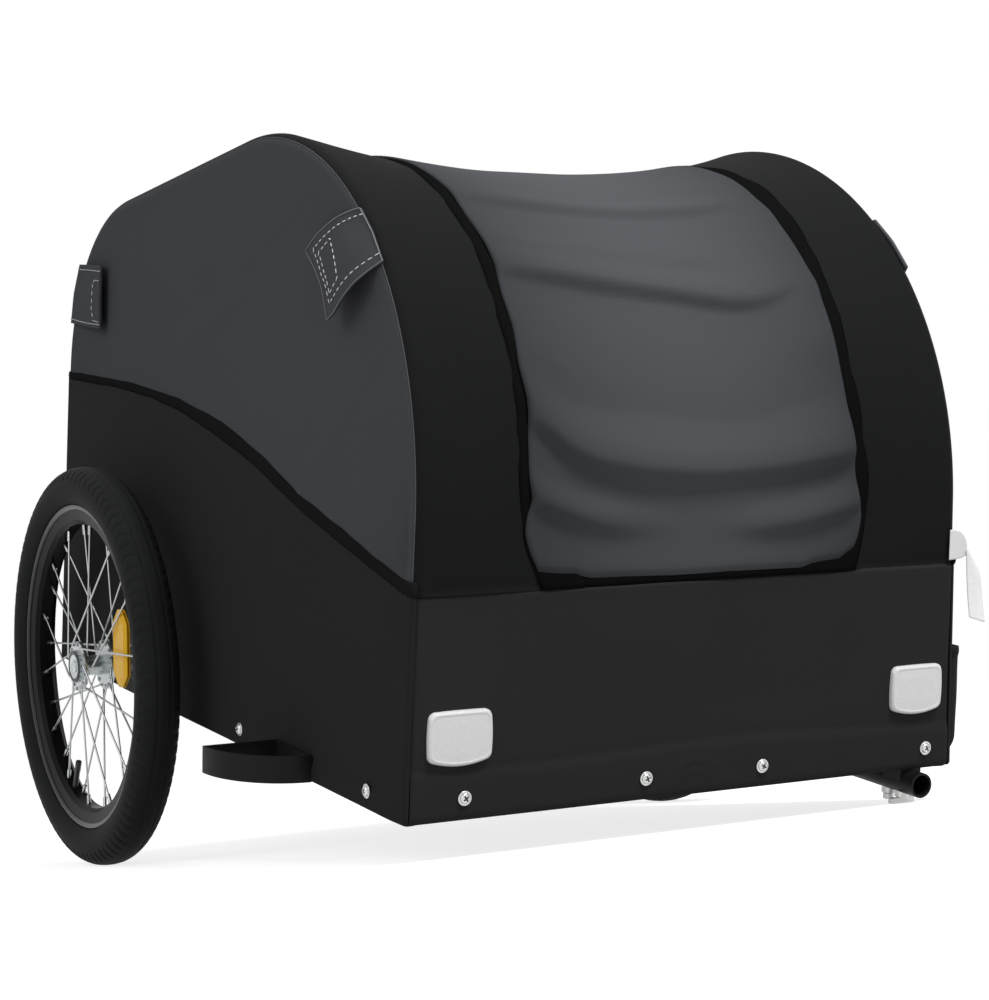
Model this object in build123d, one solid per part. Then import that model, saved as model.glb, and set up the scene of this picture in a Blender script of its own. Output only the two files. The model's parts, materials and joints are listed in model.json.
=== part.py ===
from build123d import *

import copy
import math
import os

# A two-wheeled cargo trailer for a bicycle: a steel floor frame with two bent side hoops, dressed in
# fabric. A black tub forms the lower walls, a grey and black canopy the upper ones.
#
# Everything is drawn with the trailer level: Y 0 is the front panel and Y grows to the rear, +X is the
# trailer's left, and Z 0 is the ground under the wheels. The last step leans the whole trailer forward
# onto its tow socket, as it rests with its drawbar taken off.

# ---- driving dimensions, millimetres and degrees ----
body_length = 832
body_width = 565
body_bottom = 165
side_lean = 1.5
tub_front_top = 352
tub_rear_top = 475

canopy_front_radius = 316
canopy_spring_height = 411
canopy_rear_radius = 188
canopy_rear_spring_height = 482
cover_width = 350
band_sag = 16
cover_sag = 33

fabric = 2.0
soft_gap = 0.3

rail_size = 25
rail_wall = 1.6
rail_corner = 3
hoop_diameter = 16
middle_rail_y = 300
floor_thickness = 4

wheel_diameter = 400
tyre_width = 43
tread_width = 31
tread_crown = 6
tyre_height = 41
rim_width = 25
rim_wall_height = 12
rim_depth = 16
wheel_gap = 48.5
axle_y = 596
axle_diameter = 12
axle_clearance = 0.05
axle_end_play = 1.0
spoke_count = 28
spoke_crosses = 2
spoke_diameter = 2.0
spoke_bend_radius = 1.5
spoke_head_diameter = 3.8
spoke_head_thickness = 1.0
nipple_diameter = 4.0
nipple_length = 10
nipple_gap = 0.6
hub_flange_diameter = 50
hub_flange_spacing = 28
hub_flange_thickness = 3
hub_shell_diameter = 20
hub_end_diameter = 33
hub_recess_diameter = 24
hub_length = 37

guard_bar = 3
guard_height = 24
guard_rear_y = 247
guard_length = 73
guard_reach = 72
guard_drop = 3

socket_from_side = 45.5
socket_diameter = 23
socket_wall = 2.0
socket_overhang = 14
socket_length = 340
pin_drop = 10
pin_first_y = 14
pin_spacing = 19

reflector_width = 62
reflector_height = 47
reflector_thickness = 5
reflector_from_side = 48.5
reflector_z = 237

reflector_bottom = -20
reflector_bulge = 5
reflector_corner = 6

flange_height = 6
flange_width = 1.5
collar_diameter = 20
axle_head_diameter = 16
cap_recess = 7
plate_length = 60
plate_thickness = 4
plate_above = 24
spoke_gap = 0.2
spoke_outer_gap = 0.9
spoke_hole_gap = 0.3
spoke_edge = 3
spoke_seat_offset = 2.5
amber_ahead = 84
amber_rise = 31
amber_lean = 3
amber_width = 38
amber_height = 76
amber_bevel_room = 0.2
amber_lens = 1.9
amber_corner = 13
amber_rim = 3

nut_diameter = 13
nut_height = 4
screw_diameter = 6
screw_head = 5
cross_bar_length = 26

tab_thickness = 2
tab_length = 96
front_tab_width = 60
front_tab_y = 120
front_tab_z = 600
front_tab_turn = -40
rear_tab_from_rear = 64
rear_tab_z = 566
rear_tab_height = 66
pouch_y = 20
pouch_z = 178
pouch_length = 140
pouch_height = 93
pouch_depth = 13
pouch_foot = 2

# ---- sizes that follow ----
half_width = body_width / 2
cross_bar_diameter = hoop_diameter
wheel_radius = wheel_diameter / 2
wheel_track = body_width + 2 * wheel_gap
rim_diameter = wheel_diameter - 2 * tyre_height
socket_x = half_width - socket_from_side
reflector_x = half_width - reflector_from_side
rear_tab_y = body_length - rear_tab_from_rear
rail_z = body_bottom + 3 + rail_size / 2
rail_top = rail_z + rail_size / 2
rail_bottom = rail_z - rail_size / 2
lean_slope = math.tan(math.radians(side_lean))
inner_x = half_width - (rail_top - body_bottom) * lean_slope - fabric - soft_gap
inner_front = fabric + soft_gap
inner_rear = body_length - fabric - soft_gap
rail_x = inner_x - rail_size / 2
hoop_inset = fabric + soft_gap + hoop_diameter / 2
socket_z = body_bottom - socket_diameter / 2 - soft_gap
crest_height = canopy_spring_height + canopy_front_radius

LEFT, RIGHT = 1, -1
SIDES = {"left": LEFT, "right": RIGHT}

pieces = {}


# ---- outlines in the side view, drawn as (Y, Z) ----
def canopy_outline(inset, front_foot, rear_foot, sag=0):
    """The canopy's side outline, moved inwards: up the front, round the crest, down the falling roof.

    Where the fabric sags between the hoops, both bends tighten by the sag, which lowers the roof."""
    front_radius, rear_radius = canopy_front_radius - sag, canopy_rear_radius - sag
    front = (front_radius, canopy_spring_height)
    rear = (body_length - rear_radius, canopy_rear_spring_height)
    run, rise = rear[0] - front[0], rear[1] - front[1]
    fall = math.degrees(
        math.asin((front_radius - rear_radius) / math.hypot(run, rise)) - math.atan2(rise, run)
    )
    front_arc = CenterArc(front, front_radius - inset, 180, -(90 + fall))
    rear_arc = CenterArc(rear, rear_radius - inset, 90 - fall, -(90 - fall))
    return [
        Line((inset, front_foot), front_arc @ 0),
        front_arc,
        Line(front_arc @ 1, rear_arc @ 0),
        rear_arc,
        Line(rear_arc @ 1, (body_length - inset, rear_foot)),
    ]


def fabric_section(x, sag):
    """The canopy fabric cut through at x: a thin arch from the front tub wall to the rear one."""
    outer = canopy_outline(0, tub_front_top, tub_rear_top, sag)
    inner = canopy_outline(fabric, tub_front_top, tub_rear_top, sag)
    feet = [Line(outer[0] @ 0, inner[0] @ 0), Line(outer[-1] @ 1, inner[-1] @ 1)]
    return Pos(x, 0, 0) * make_face(Plane.YZ * (Curve() + outer + inner + feet))


def tub_edge(lift):
    """The wave-shaped seam between the black tub and the grey upper side."""
    rise = tub_rear_top - tub_front_top
    marks = [(0, 0.04), (0.19, 0.32), (0.39, 0.68), (0.61, 0.92), (1, 1)]
    points = [(body_length * a, tub_front_top + lift + rise * b) for a, b in marks]
    return Spline(points, tangents=[(1, 0.16), (1, 0)])


def wall_x(z):
    """How far out the leaning side wall stands at height z."""
    return half_width - (z - body_bottom) * lean_slope


def hoop_x(z):
    """How far out the middle of a hoop stands at height z."""
    return wall_x(z) - hoop_inset / math.cos(math.radians(side_lean))


def lean_inwards(piece, sign):
    """A piece drawn on an upright side wall, tilted about the wall's lower edge."""
    edge = Pos(sign * half_width, 0, body_bottom)
    return edge * Rot(0, -sign * side_lean, 0) * edge.inverse() * piece


def between_sides(y, depth, low, high):
    """A block that fills the width between the leaning sides, from height low to height high."""
    corners = [(-wall_x(low), low), (wall_x(low), low), (wall_x(high), high), (-wall_x(high), high)]
    outline = Polyline(*[(x, y, z) for x, z in corners], close=True)
    return extrude(make_face(outline), depth, dir=(0, 1, 0))


def box(low, high):
    """A box between two corners."""
    size = [b - a for a, b in zip(low, high)]
    middle = [(a + b) / 2 for a, b in zip(low, high)]
    return Pos(*middle) * Box(*size)


def bar(start, end, diameter):
    """A round bar from start to end."""
    start, end = Vector(*start), Vector(*end)
    ends = Plane(origin=start, z_dir=end - start)
    return extrude(ends * Circle(diameter / 2), (end - start).length)


# ---- floor frame ----
def square_tube(start, end):
    """A square tube with rounded edges, open at both ends."""
    start, end = Vector(*start), Vector(*end)
    ends = Plane(origin=start, x_dir=(0, 0, 1), z_dir=end - start)
    outside = RectangleRounded(rail_size, rail_size, rail_corner)
    core = rail_size - 2 * rail_wall
    inside = RectangleRounded(core, core, rail_corner - rail_wall)
    return extrude(ends * (outside - inside), (end - start).length)


def floor_frame():
    """Two side rails, four cross rails and the board that they carry."""
    inside_rails = rail_x - rail_size / 2
    for side, sign in SIDES.items():
        start = (sign * rail_x, inner_front, rail_z)
        pieces[f"side_rail_{side}"] = square_tube(start, (sign * rail_x, inner_rear, rail_z))
    cross_rails = {
        "front_rail": inner_front + rail_size / 2,
        "middle_rail": middle_rail_y,
        "axle_rail": axle_y,
        "rear_rail": inner_rear - rail_size / 2,
    }
    for name, y in cross_rails.items():
        pieces[name] = square_tube((-inside_rails, y, rail_z), (inside_rails, y, rail_z))
    board_x = hoop_x(rail_top + floor_thickness) - hoop_diameter / 2 - 1
    board_y = hoop_inset + hoop_diameter / 2 + 1
    pieces["floor_board"] = box(
        (-board_x, board_y, rail_top), (board_x, body_length - board_y, rail_top + floor_thickness)
    )


# ---- hoops and cross bars ----
def hoops():
    """A bent bar up each side, standing on the side rail, and the bars that hold the two apart."""
    path = Wire(Plane.YZ * (Curve() + canopy_outline(hoop_inset, rail_z, rail_z)))
    hoop = sweep(Plane(path @ 0, z_dir=path % 0) * Circle(hoop_diameter / 2), path)
    for side, sign in SIDES.items():
        leaning = lean_inwards(Pos(sign * (half_width - hoop_inset), 0, 0) * hoop, sign)
        pieces[f"hoop_{side}"] = split(leaning, bisect_by=Plane.XY.offset(rail_top), keep=Keep.TOP)
    heights = {
        "front_cross_bar": (hoop_inset, tub_front_top - cross_bar_diameter / 2),
        "rear_cross_bar": (body_length - hoop_inset, tub_rear_top - cross_bar_diameter / 2),
    }
    for name, (y, z) in heights.items():
        reach = hoop_x(z + cross_bar_diameter / 2) - hoop_diameter / 2 - soft_gap
        pieces[name] = bar((-reach, y, z), (reach, y, z), cross_bar_diameter)


# ---- fabric walls ----
def walls():
    """The tub's four walls and the canopy: upper sides, black edge bands, and the cover between them."""
    pieces["front_panel"] = between_sides(0, fabric, body_bottom, tub_front_top)
    pieces["rear_panel"] = between_sides(body_length - fabric, fabric, body_bottom, tub_rear_top)
    front, rear = inner_front, body_length - inner_front
    seam = tub_edge(0)
    over = Polyline(
        seam @ 1, (body_length, 2 * wheel_diameter), (0, 2 * wheel_diameter), seam @ 0
    )
    above_seam = make_face(Plane.YZ * (Curve() + [seam, over]))
    lower = Plane.YZ * Pos(body_length / 2, 0) * Rectangle(rear - front, 4 * wheel_diameter)
    lower = lower & (Plane.YZ * Pos(0, body_bottom) * Rectangle(
        3 * body_length, 4 * wheel_diameter, align=(Align.CENTER, Align.MIN)
    ))
    lower = lower - above_seam
    outline = canopy_outline(inner_front, body_bottom, body_bottom)
    inside = make_face(
        Plane.YZ * (Curve() + outline + [Line(outline[-1] @ 1, outline[0] @ 0)])
    )
    upper = inside & (Pos(0, 0, soft_gap) * above_seam)
    half_cover = cover_width / 2
    over_hoop = hoop_x(crest_height) - hoop_diameter / 2
    envelope = between_sides(0, body_length, body_bottom, crest_height)
    for side, sign in SIDES.items():
        start = Pos(half_width - fabric if sign > 0 else -half_width, 0, 0)
        pieces[f"side_lower_{side}"] = lean_inwards(start * extrude(lower, fabric, dir=(1, 0, 0)), sign)
        pieces[f"side_upper_{side}"] = lean_inwards(start * extrude(upper, fabric, dir=(1, 0, 0)), sign)
        taut = extrude(fabric_section(sign * over_hoop, 0), half_width, dir=(sign, 0, 0))
        slack = loft([
            fabric_section(sign * over_hoop, 0),
            fabric_section(sign * (half_cover + soft_gap), band_sag),
        ], ruled=True)
        pieces[f"canopy_band_{side}"] = (taut & envelope) + slack
    pieces["front_cover"] = loft([
        fabric_section(share * half_cover, cover_sag - (cover_sag - band_sag) * share ** 2)
        for share in (-1, -0.5, 0, 0.5, 1)
    ], ruled=True)


# ---- small fabric pieces ----
def tabs():
    """Stitched fabric tongues on the sides, which tie the rolled-up cover, and a flat pouch."""
    front_tab = Pos(0, front_tab_y, front_tab_z) * Rot(front_tab_turn, 0, 0) * Box(
        tab_thickness, tab_length, front_tab_width
    )
    rear_tab = Pos(0, rear_tab_y, rear_tab_z) * Box(tab_thickness, tab_length, rear_tab_height)
    for side, sign in SIDES.items():
        out = Pos(sign * (half_width + soft_gap + tab_thickness / 2), 0, 0)
        pieces[f"front_tab_{side}"] = lean_inwards(out * front_tab, sign)
        pieces[f"rear_tab_{side}"] = lean_inwards(out * rear_tab, sign)
    back, top = half_width + soft_gap, pouch_z + pouch_height
    wedge = Polyline(
        (back, pouch_y, pouch_z), (back, pouch_y, top), (back + pouch_depth, pouch_y, top),
        (back + pouch_foot, pouch_y, pouch_z), close=True,
    )
    pouch = extrude(make_face(wedge), pouch_length, dir=(0, 1, 0))
    mouth = pouch.edges().filter_by(Axis.X).group_by(Axis.Z)[-1]
    pouch = chamfer(mouth, pouch_depth / 3)
    pieces["side_pouch"] = lean_inwards(pouch, LEFT)


def reflectors():
    """Barrel-shaped reflectors: white ones on the front panel and red ones on the rear panel."""
    half, low, high = reflector_width / 2, reflector_bottom, reflector_height / 2
    outline = [
        Polyline((-half, low), (-half, high), (half, high), (half, low)),
        ThreePointArc((half, low), (0, low - reflector_bulge), (-half, low)),
    ]
    face = make_face(Curve() + outline)
    face = fillet(face.vertices(), reflector_corner)
    lens = extrude(face, reflector_thickness)
    lens = fillet(lens.faces().sort_by(Axis.Z)[-1].edges(), reflector_thickness / 3)
    for side, sign in SIDES.items():
        place = Plane(
            origin=(sign * reflector_x, 0, reflector_z), x_dir=(1, 0, 0), z_dir=(0, -1, 0)
        )
        pieces[f"front_reflector_{side}"] = place * lens
        place = Plane(
            origin=(sign * reflector_x, body_length, reflector_z), x_dir=(-1, 0, 0), z_dir=(0, 1, 0)
        )
        pieces[f"rear_reflector_{side}"] = place * lens


# ---- wheel guards ----
def wheel_guards():
    """A flat bar bent into a quarter round ahead of each wheel, bolted to the side rail."""
    front_y = guard_rear_y - guard_length
    tip = guard_reach
    outline = [
        Line((0, front_y), (0, guard_rear_y)),
        Line((0, guard_rear_y), (tip, guard_rear_y)),
        ThreePointArc((0, front_y), (0.72 * tip, guard_rear_y - 0.68 * guard_length), (tip, guard_rear_y)),
    ]
    loop = make_face(Curve() + outline)
    ring = loop - offset(loop, amount=-guard_bar)
    ring = extrude(ring, guard_height)
    low = rail_z - guard_height / 2 - guard_drop
    guard = Pos(half_width + soft_gap, 0, low) * ring
    pieces["wheel_guard_left"] = guard
    pieces["wheel_guard_right"] = mirror(guard, Plane.YZ)


# ---- tow socket ----
def tow_socket():
    """An open tube under the floor for the drawbar, with the two clamp screws that hold it."""
    radius = socket_diameter / 2
    bore = radius - socket_wall
    start = Plane(origin=(socket_x, -socket_overhang, socket_z), z_dir=(0, 1, 0))
    tube = extrude(start * Circle(radius), socket_length)
    screws_y = [pin_first_y, pin_first_y + pin_spacing]
    for y in screws_y:
        tube += Pos(socket_x, y, socket_z - radius - nut_height / 2 + 1) * Cylinder(
            nut_diameter / 2, nut_height + 2
        )
    for y in screws_y:
        tube -= Pos(socket_x, y, socket_z - radius) * Cylinder(
            screw_diameter / 2 + axle_clearance, 2 * nut_height + 2 * socket_wall
        )
    tube -= extrude(start * Circle(bore), socket_length)
    pieces["tow_socket"] = tube
    top = socket_z - bore - socket_wall / 3
    bottom = socket_z - radius - pin_drop
    middle = bottom + screw_head / 2
    shank = Cylinder(screw_diameter / 2, top - middle, align=(Align.CENTER, Align.CENTER, Align.MIN))
    head = box(
        (socket_x - cross_bar_length / 2, pin_first_y - screw_head / 2, bottom),
        (socket_x + cross_bar_length / 2, pin_first_y + screw_head / 2, bottom + screw_head),
    )
    pieces["clamp_screw_front"] = Pos(socket_x, screws_y[0], middle) * shank + head
    head = Pos(socket_x, screws_y[1], middle) * Cylinder(screw_head, screw_head)
    pieces["clamp_screw_rear"] = Pos(socket_x, screws_y[1], middle) * shank + head
    saddle_top = rail_bottom
    width = rail_size
    saddles = []
    for y in (inner_front + rail_size / 2, middle_rail_y):
        block = box(
            (socket_x - radius, y - width / 2, socket_z),
            (socket_x + radius, y + width / 2, saddle_top),
        )
        saddles.append(block - extrude(start * Circle(radius + axle_clearance), socket_length))
    pieces["socket_saddles"] = Compound(children=saddles)


# ---- wheels ----
def axle_mounts():
    """A plate outside each fabric wall, which carries the stub axle."""
    plate_x = half_width + soft_gap
    plate = box(
        (plate_x, axle_y - plate_length / 2, rail_bottom),
        (plate_x + plate_thickness, axle_y + plate_length / 2, wheel_radius + plate_above),
    )
    hub_in = wheel_track / 2 - hub_length / 2
    hub_out = wheel_track / 2 + hub_length / 2
    face = plate_x + plate_thickness
    shaft = bar((face, axle_y, wheel_radius), (hub_out - cap_recess, axle_y, wheel_radius), axle_diameter)
    collar = bar(
        (face, axle_y, wheel_radius), (hub_in - axle_end_play, axle_y, wheel_radius), collar_diameter
    )
    head = bar(
        (hub_out - cap_recess + axle_end_play, axle_y, wheel_radius),
        (hub_out - 1, axle_y, wheel_radius),
        axle_head_diameter,
    )
    stem = bar(
        (face, axle_y, wheel_radius), (hub_out - 1, axle_y, wheel_radius), axle_diameter
    )
    axle = shaft + collar + head + stem
    pieces["axle_plate_left"] = plate
    pieces["axle_left"] = axle
    pieces["axle_plate_right"] = mirror(plate, Plane.YZ)
    pieces["axle_right"] = mirror(axle, Plane.YZ)


def turned(points):
    """A ring turned about the X axis from its half section, drawn as (X, radius)."""
    return revolve(make_face(Plane.XY * Polyline(*points, close=True)), Axis.X)


def wheel():
    """One wheel about the X axis, with +X pointing away from the trailer."""
    rim_r, half_rim = rim_diameter / 2, rim_width / 2
    seat = rim_r - flange_height
    inner_flange = half_rim - flange_width
    bead = inner_flange - soft_gap
    neck = rim_r + soft_gap
    shoulder = (tread_width / 2, wheel_radius - tread_crown)
    widest = (tyre_width / 2, (neck + shoulder[1]) / 2)
    section = [
        Polyline((-half_rim, neck), (-bead, neck), (-bead, seat + soft_gap)),
        Line((-bead, seat + soft_gap), (bead, seat + soft_gap)),
        Polyline((bead, seat + soft_gap), (bead, neck), (half_rim, neck)),
        ThreePointArc((half_rim, neck), widest, shoulder),
        ThreePointArc(shoulder, (0, wheel_radius), (-shoulder[0], shoulder[1])),
        ThreePointArc((-shoulder[0], shoulder[1]), (-widest[0], widest[1]), (-half_rim, neck)),
    ]
    tyre = revolve(make_face(Curve() + section), Axis.X)
    crown = rim_r - rim_depth
    wall_foot = rim_r - rim_wall_height
    rim = turned([
        (-half_rim, rim_r), (-0.82 * half_rim, wall_foot), (-half_rim / 2, crown),
        (half_rim / 2, crown), (0.82 * half_rim, wall_foot), (half_rim, rim_r),
        (inner_flange, rim_r), (inner_flange, seat), (-inner_flange, seat), (-inner_flange, rim_r),
    ])
    return {
        "tyre": tyre, "rim": rim, "hub": hub(), "spokes": spokes(crown), "spoke_reflector": amber(crown),
    }


def hub():
    """A pressed hub: two flanges drilled for the spokes, a thin barrel and a recess for the axle's head."""
    shell, flange = hub_shell_diameter / 2, hub_flange_diameter / 2
    end, half_hub = hub_end_diameter / 2, hub_length / 2
    inner = hub_flange_spacing / 2 - hub_flange_thickness / 2
    outer = hub_flange_spacing / 2 + hub_flange_thickness / 2
    bore = axle_diameter / 2 + axle_clearance
    recess = hub_recess_diameter / 2
    body = turned([
        (-half_hub, bore), (-half_hub, end), (-outer, end), (-outer, flange), (-inner, flange),
        (-inner, shell), (inner, shell), (inner, flange), (outer, flange), (outer, end),
        (half_hub, end), (half_hub, recess), (half_hub - cap_recess, recess),
        (half_hub - cap_recess, bore),
    ])
    per_flange = spoke_count // 2
    hole = Cylinder(spoke_diameter / 2 + spoke_hole_gap, hub_flange_thickness + 1, rotation=(0, 90, 0))
    for side in (LEFT, RIGHT):
        for k in range(per_flange):
            turn = Rot(hole_angle(side, k), 0, 0)
            body -= turn * Pos(side * hub_flange_spacing / 2, 0, spoke_circle()) * hole
    return body


def spoke_circle():
    """The radius of the circle that the spoke holes are drilled on."""
    return hub_flange_diameter / 2 - spoke_edge


def hole_angle(side, k):
    """The turn, in degrees, of a flange's spoke hole: the two flanges' holes alternate."""
    step = 360 * 2 / spoke_count
    return k * step + (0 if side == LEFT else step / 2)


def spokes(crown):
    """The lacing: each wire's head sits on one face of its flange, and the wire bends over the other."""
    step = 360 * 2 / spoke_count
    across = hub_flange_thickness / 2 + spoke_diameter / 2
    wires = []
    for side in (LEFT, RIGHT):
        for k in range(spoke_count // 2):
            lean = 1 if k % 2 else -1
            beside = across + (spoke_gap if side * lean < 0 else spoke_outer_gap)
            start = Rot(hole_angle(side, k), 0, 0)
            finish = Rot(hole_angle(side, k) + lean * spoke_crosses * step, 0, 0)
            flange_x = side * hub_flange_spacing / 2
            head_x = flange_x - lean * (hub_flange_thickness / 2 + spoke_gap + spoke_head_thickness)
            head = (start * Pos(head_x, 0, spoke_circle())).position
            elbow = (start * Pos(flange_x + lean * beside, 0, spoke_circle())).position
            seat = (finish * Pos(side * spoke_seat_offset, 0, crown - nipple_gap)).position
            path = FilletPolyline(head, elbow, seat, radius=spoke_bend_radius)
            wire = sweep(Plane(path @ 0, z_dir=path % 0) * Circle(spoke_diameter / 2), path)
            button = bar(head, head + Vector(lean * spoke_head_thickness, 0, 0), spoke_head_diameter)
            pull = (seat - elbow).normalized()
            nipple = bar(seat - pull * nipple_length, seat, nipple_diameter)
            wires.append(wire + button + nipple)
    return Compound(children=wires)


def inner_wire_x(radius, crown):
    """How far from the wheel's middle plane the inner spokes' wires pass, at a radius."""
    at_flange = hub_flange_spacing / 2 - hub_flange_thickness / 2 - spoke_gap - spoke_diameter
    share = (radius - spoke_circle()) / (crown - nipple_gap - spoke_circle())
    return at_flange + share * (spoke_seat_offset - spoke_diameter / 2 - at_flange)


def amber(crown):
    """The spoke reflector ahead of the hub: two bevelled lenses back to back on a waist as thick as the
    space between the spokes allows."""
    far = math.hypot(amber_ahead + amber_width / 2, amber_rise + amber_height / 2 - amber_corner)
    amber_waist = 2 * (inner_wire_x(far, crown) + amber_bevel_room - amber_lens)
    outline = Rectangle(amber_width, amber_height)
    outline = chamfer(outline.vertices(), amber_corner)
    outline = fillet(outline.vertices(), amber_rim)
    lens = extrude(outline, amber_lens, taper=45)
    waist = extrude(offset(outline, -amber_rim), amber_waist / 2)
    half = waist + Pos(0, 0, amber_waist / 2) * lens
    face_out = Plane(origin=(0, 0, 0), x_dir=(0, 1, 0), z_dir=(1, 0, 0))
    reflector = face_out * half + face_out.rotated((0, 180, 0)) * half
    return Pos(0, -amber_ahead, amber_rise) * Rot(-amber_lean, 0, 0) * reflector


def wheels():
    """The two wheels in their places, the right one mirrored."""
    for name, piece in wheel().items():
        placed = Pos(wheel_track / 2, axle_y, wheel_radius) * piece
        pieces[f"{name}_left"] = placed
        pieces[f"{name}_right"] = mirror(placed, Plane.YZ)


# ---- how it stands ----
def nose_down():
    """The angle, in radians, by which the trailer leans forward until its clamp screw is on the ground."""
    ahead = axle_y - pin_first_y + screw_head / 2
    below = wheel_radius - (socket_z - socket_diameter / 2 - pin_drop)
    return math.asin(wheel_radius / math.hypot(ahead, below)) - math.atan2(below, ahead)


def tipped(shape):
    """A piece of the level trailer, turned about the axle line until the trailer rests on its socket."""
    turn = Rot(math.degrees(nose_down()), 0, 0)
    return Pos(0, 0, wheel_radius) * turn * Pos(0, -axle_y, -wheel_radius) * shape


floor_frame()
hoops()
walls()
tabs()
reflectors()
wheel_guards()
tow_socket()
axle_mounts()
wheels()

resting = {name: tipped(piece) for name, piece in pieces.items()}
middle = Compound(children=[copy.copy(piece) for piece in resting.values()]).bounding_box().center()
to_middle = Pos(-middle.X, -middle.Y, 0)

os.makedirs("parts", exist_ok=True)
for name, piece in resting.items():
    export_step(to_middle * piece, f"parts/{name}.step")
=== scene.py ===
import json
import math

import bmesh
import bpy
import numpy as np
from mathutils import Matrix, Vector, noise


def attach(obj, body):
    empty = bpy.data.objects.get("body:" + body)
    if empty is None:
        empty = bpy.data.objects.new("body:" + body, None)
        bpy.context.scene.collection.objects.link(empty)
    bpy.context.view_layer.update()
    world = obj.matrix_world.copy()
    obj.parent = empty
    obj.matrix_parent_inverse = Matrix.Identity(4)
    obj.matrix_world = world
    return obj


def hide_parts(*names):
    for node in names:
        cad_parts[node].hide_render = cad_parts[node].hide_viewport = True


# A two-wheeled cargo trailer for a bicycle, dressed in fabric: a black tub below, a grey and black canopy
# above, held up by a bent hoop on each side. It rests nose down, on its wheels and the front clamp screw.
#
# Lengths are metres. Every fabric piece is drawn with the trailer level: Y 0 is the front panel's face,
# Y grows to the rear, +X is the trailer's left and Z 0 is the ground. `rest` turns a finished mesh about
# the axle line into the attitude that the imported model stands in.

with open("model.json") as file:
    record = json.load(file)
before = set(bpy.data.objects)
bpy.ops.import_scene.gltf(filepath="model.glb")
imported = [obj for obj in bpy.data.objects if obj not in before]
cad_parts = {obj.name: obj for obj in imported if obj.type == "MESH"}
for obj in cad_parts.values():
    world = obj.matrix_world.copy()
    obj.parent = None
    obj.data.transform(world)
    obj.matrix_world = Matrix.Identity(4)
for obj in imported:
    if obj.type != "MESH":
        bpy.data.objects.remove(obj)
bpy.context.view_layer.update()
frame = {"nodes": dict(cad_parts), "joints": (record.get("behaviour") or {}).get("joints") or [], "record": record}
nodes, record = frame["nodes"], frame["record"]

# ---- the attitude and the main sizes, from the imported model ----
tow_axis = Vector(next(m["axis"] for m in record["mounts"] if m["name"] == "tow_socket"))
axle = Vector(next(j["pos_m"] for j in frame["joints"] if j["name"] == "wheel_left_spin"))
WHEEL_RADIUS = axle.z
TRACK_HALF = axle.x
rearwards, upwards = -tow_axis, Vector((0, tow_axis.z, -tow_axis.y))


def node_points(name):
    """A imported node's vertices, relative to the axle line, with the trailer level."""
    points = np.array([v.co for v in nodes[name].data.vertices]) - np.array((0, axle.y, axle.z))
    return np.stack([points[:, 0], points @ np.array(rearwards), points @ np.array(upwards)], 1)


AXLE_Y = -node_points("front_panel")[:, 1].min()
LEVEL_AXLE = np.array((0, AXLE_Y, WHEEL_RADIUS))


def node_box(name):
    """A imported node's lowest and highest corner, with the trailer level."""
    points = node_points(name) + LEVEL_AXLE
    return points.min(0), points.max(0)


front_low, front_high = node_box("front_panel")
rear_high = node_box("rear_panel")[1]
BOTTOM, FRONT_TOP, REAR_TOP = front_low[2], front_high[2], rear_high[2]
LENGTH, HALF_WIDTH = rear_high[1], front_high[0]
front_points = node_points("front_panel") + LEVEL_AXLE
LEAN = (HALF_WIDTH - front_points[front_points[:, 2] > FRONT_TOP - 0.001][:, 0].max()) / (FRONT_TOP - BOTTOM)

# ---- the canopy's form ----
# The outline's two arcs spring from the tub at these heights, with these radii.
FRONT_RADIUS, FRONT_SPRING = 0.316, 0.411
REAR_RADIUS, REAR_SPRING = 0.188, 0.482
COVER_SAG = 0.033  # how far the roof falls between the hoops
HOOP = 0.0103  # the fabric's radius round a hoop
GREY_TURN = math.radians(35)  # how far the upper side reaches round it
BAND_INNER_X = 0.150  # where a black band ends, under the cover's binding
CORNER = 0.004  # the radius of the tub's corners
SKIN = 0.0012  # the fabric's thickness


# ---- the fabric surfaces ----
def bends(sag):
    """The outline's two arcs where the fabric sags: radii, the rear arc's middle, and the fall between."""
    front, rear = FRONT_RADIUS - sag, REAR_RADIUS - sag
    run, rise = LENGTH - rear - front, REAR_SPRING - FRONT_SPRING
    fall = np.arcsin((front - rear) / np.hypot(run, rise)) - np.arctan2(rise, run)
    return front, rear, LENGTH - rear, fall


front, rear, rear_y, fall = bends(0.0)
ROOF_RUN = math.sqrt((rear_y - front) ** 2 + (REAR_SPRING - FRONT_SPRING) ** 2 - (front - rear) ** 2)
STRETCHES = np.cumsum([
    FRONT_SPRING - FRONT_TOP,
    front * (math.pi / 2 + fall),
    ROOF_RUN,
    rear * (math.pi / 2 - fall),
    REAR_SPRING - REAR_TOP,
])
ARCH_LENGTH = STRETCHES[-1]


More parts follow.
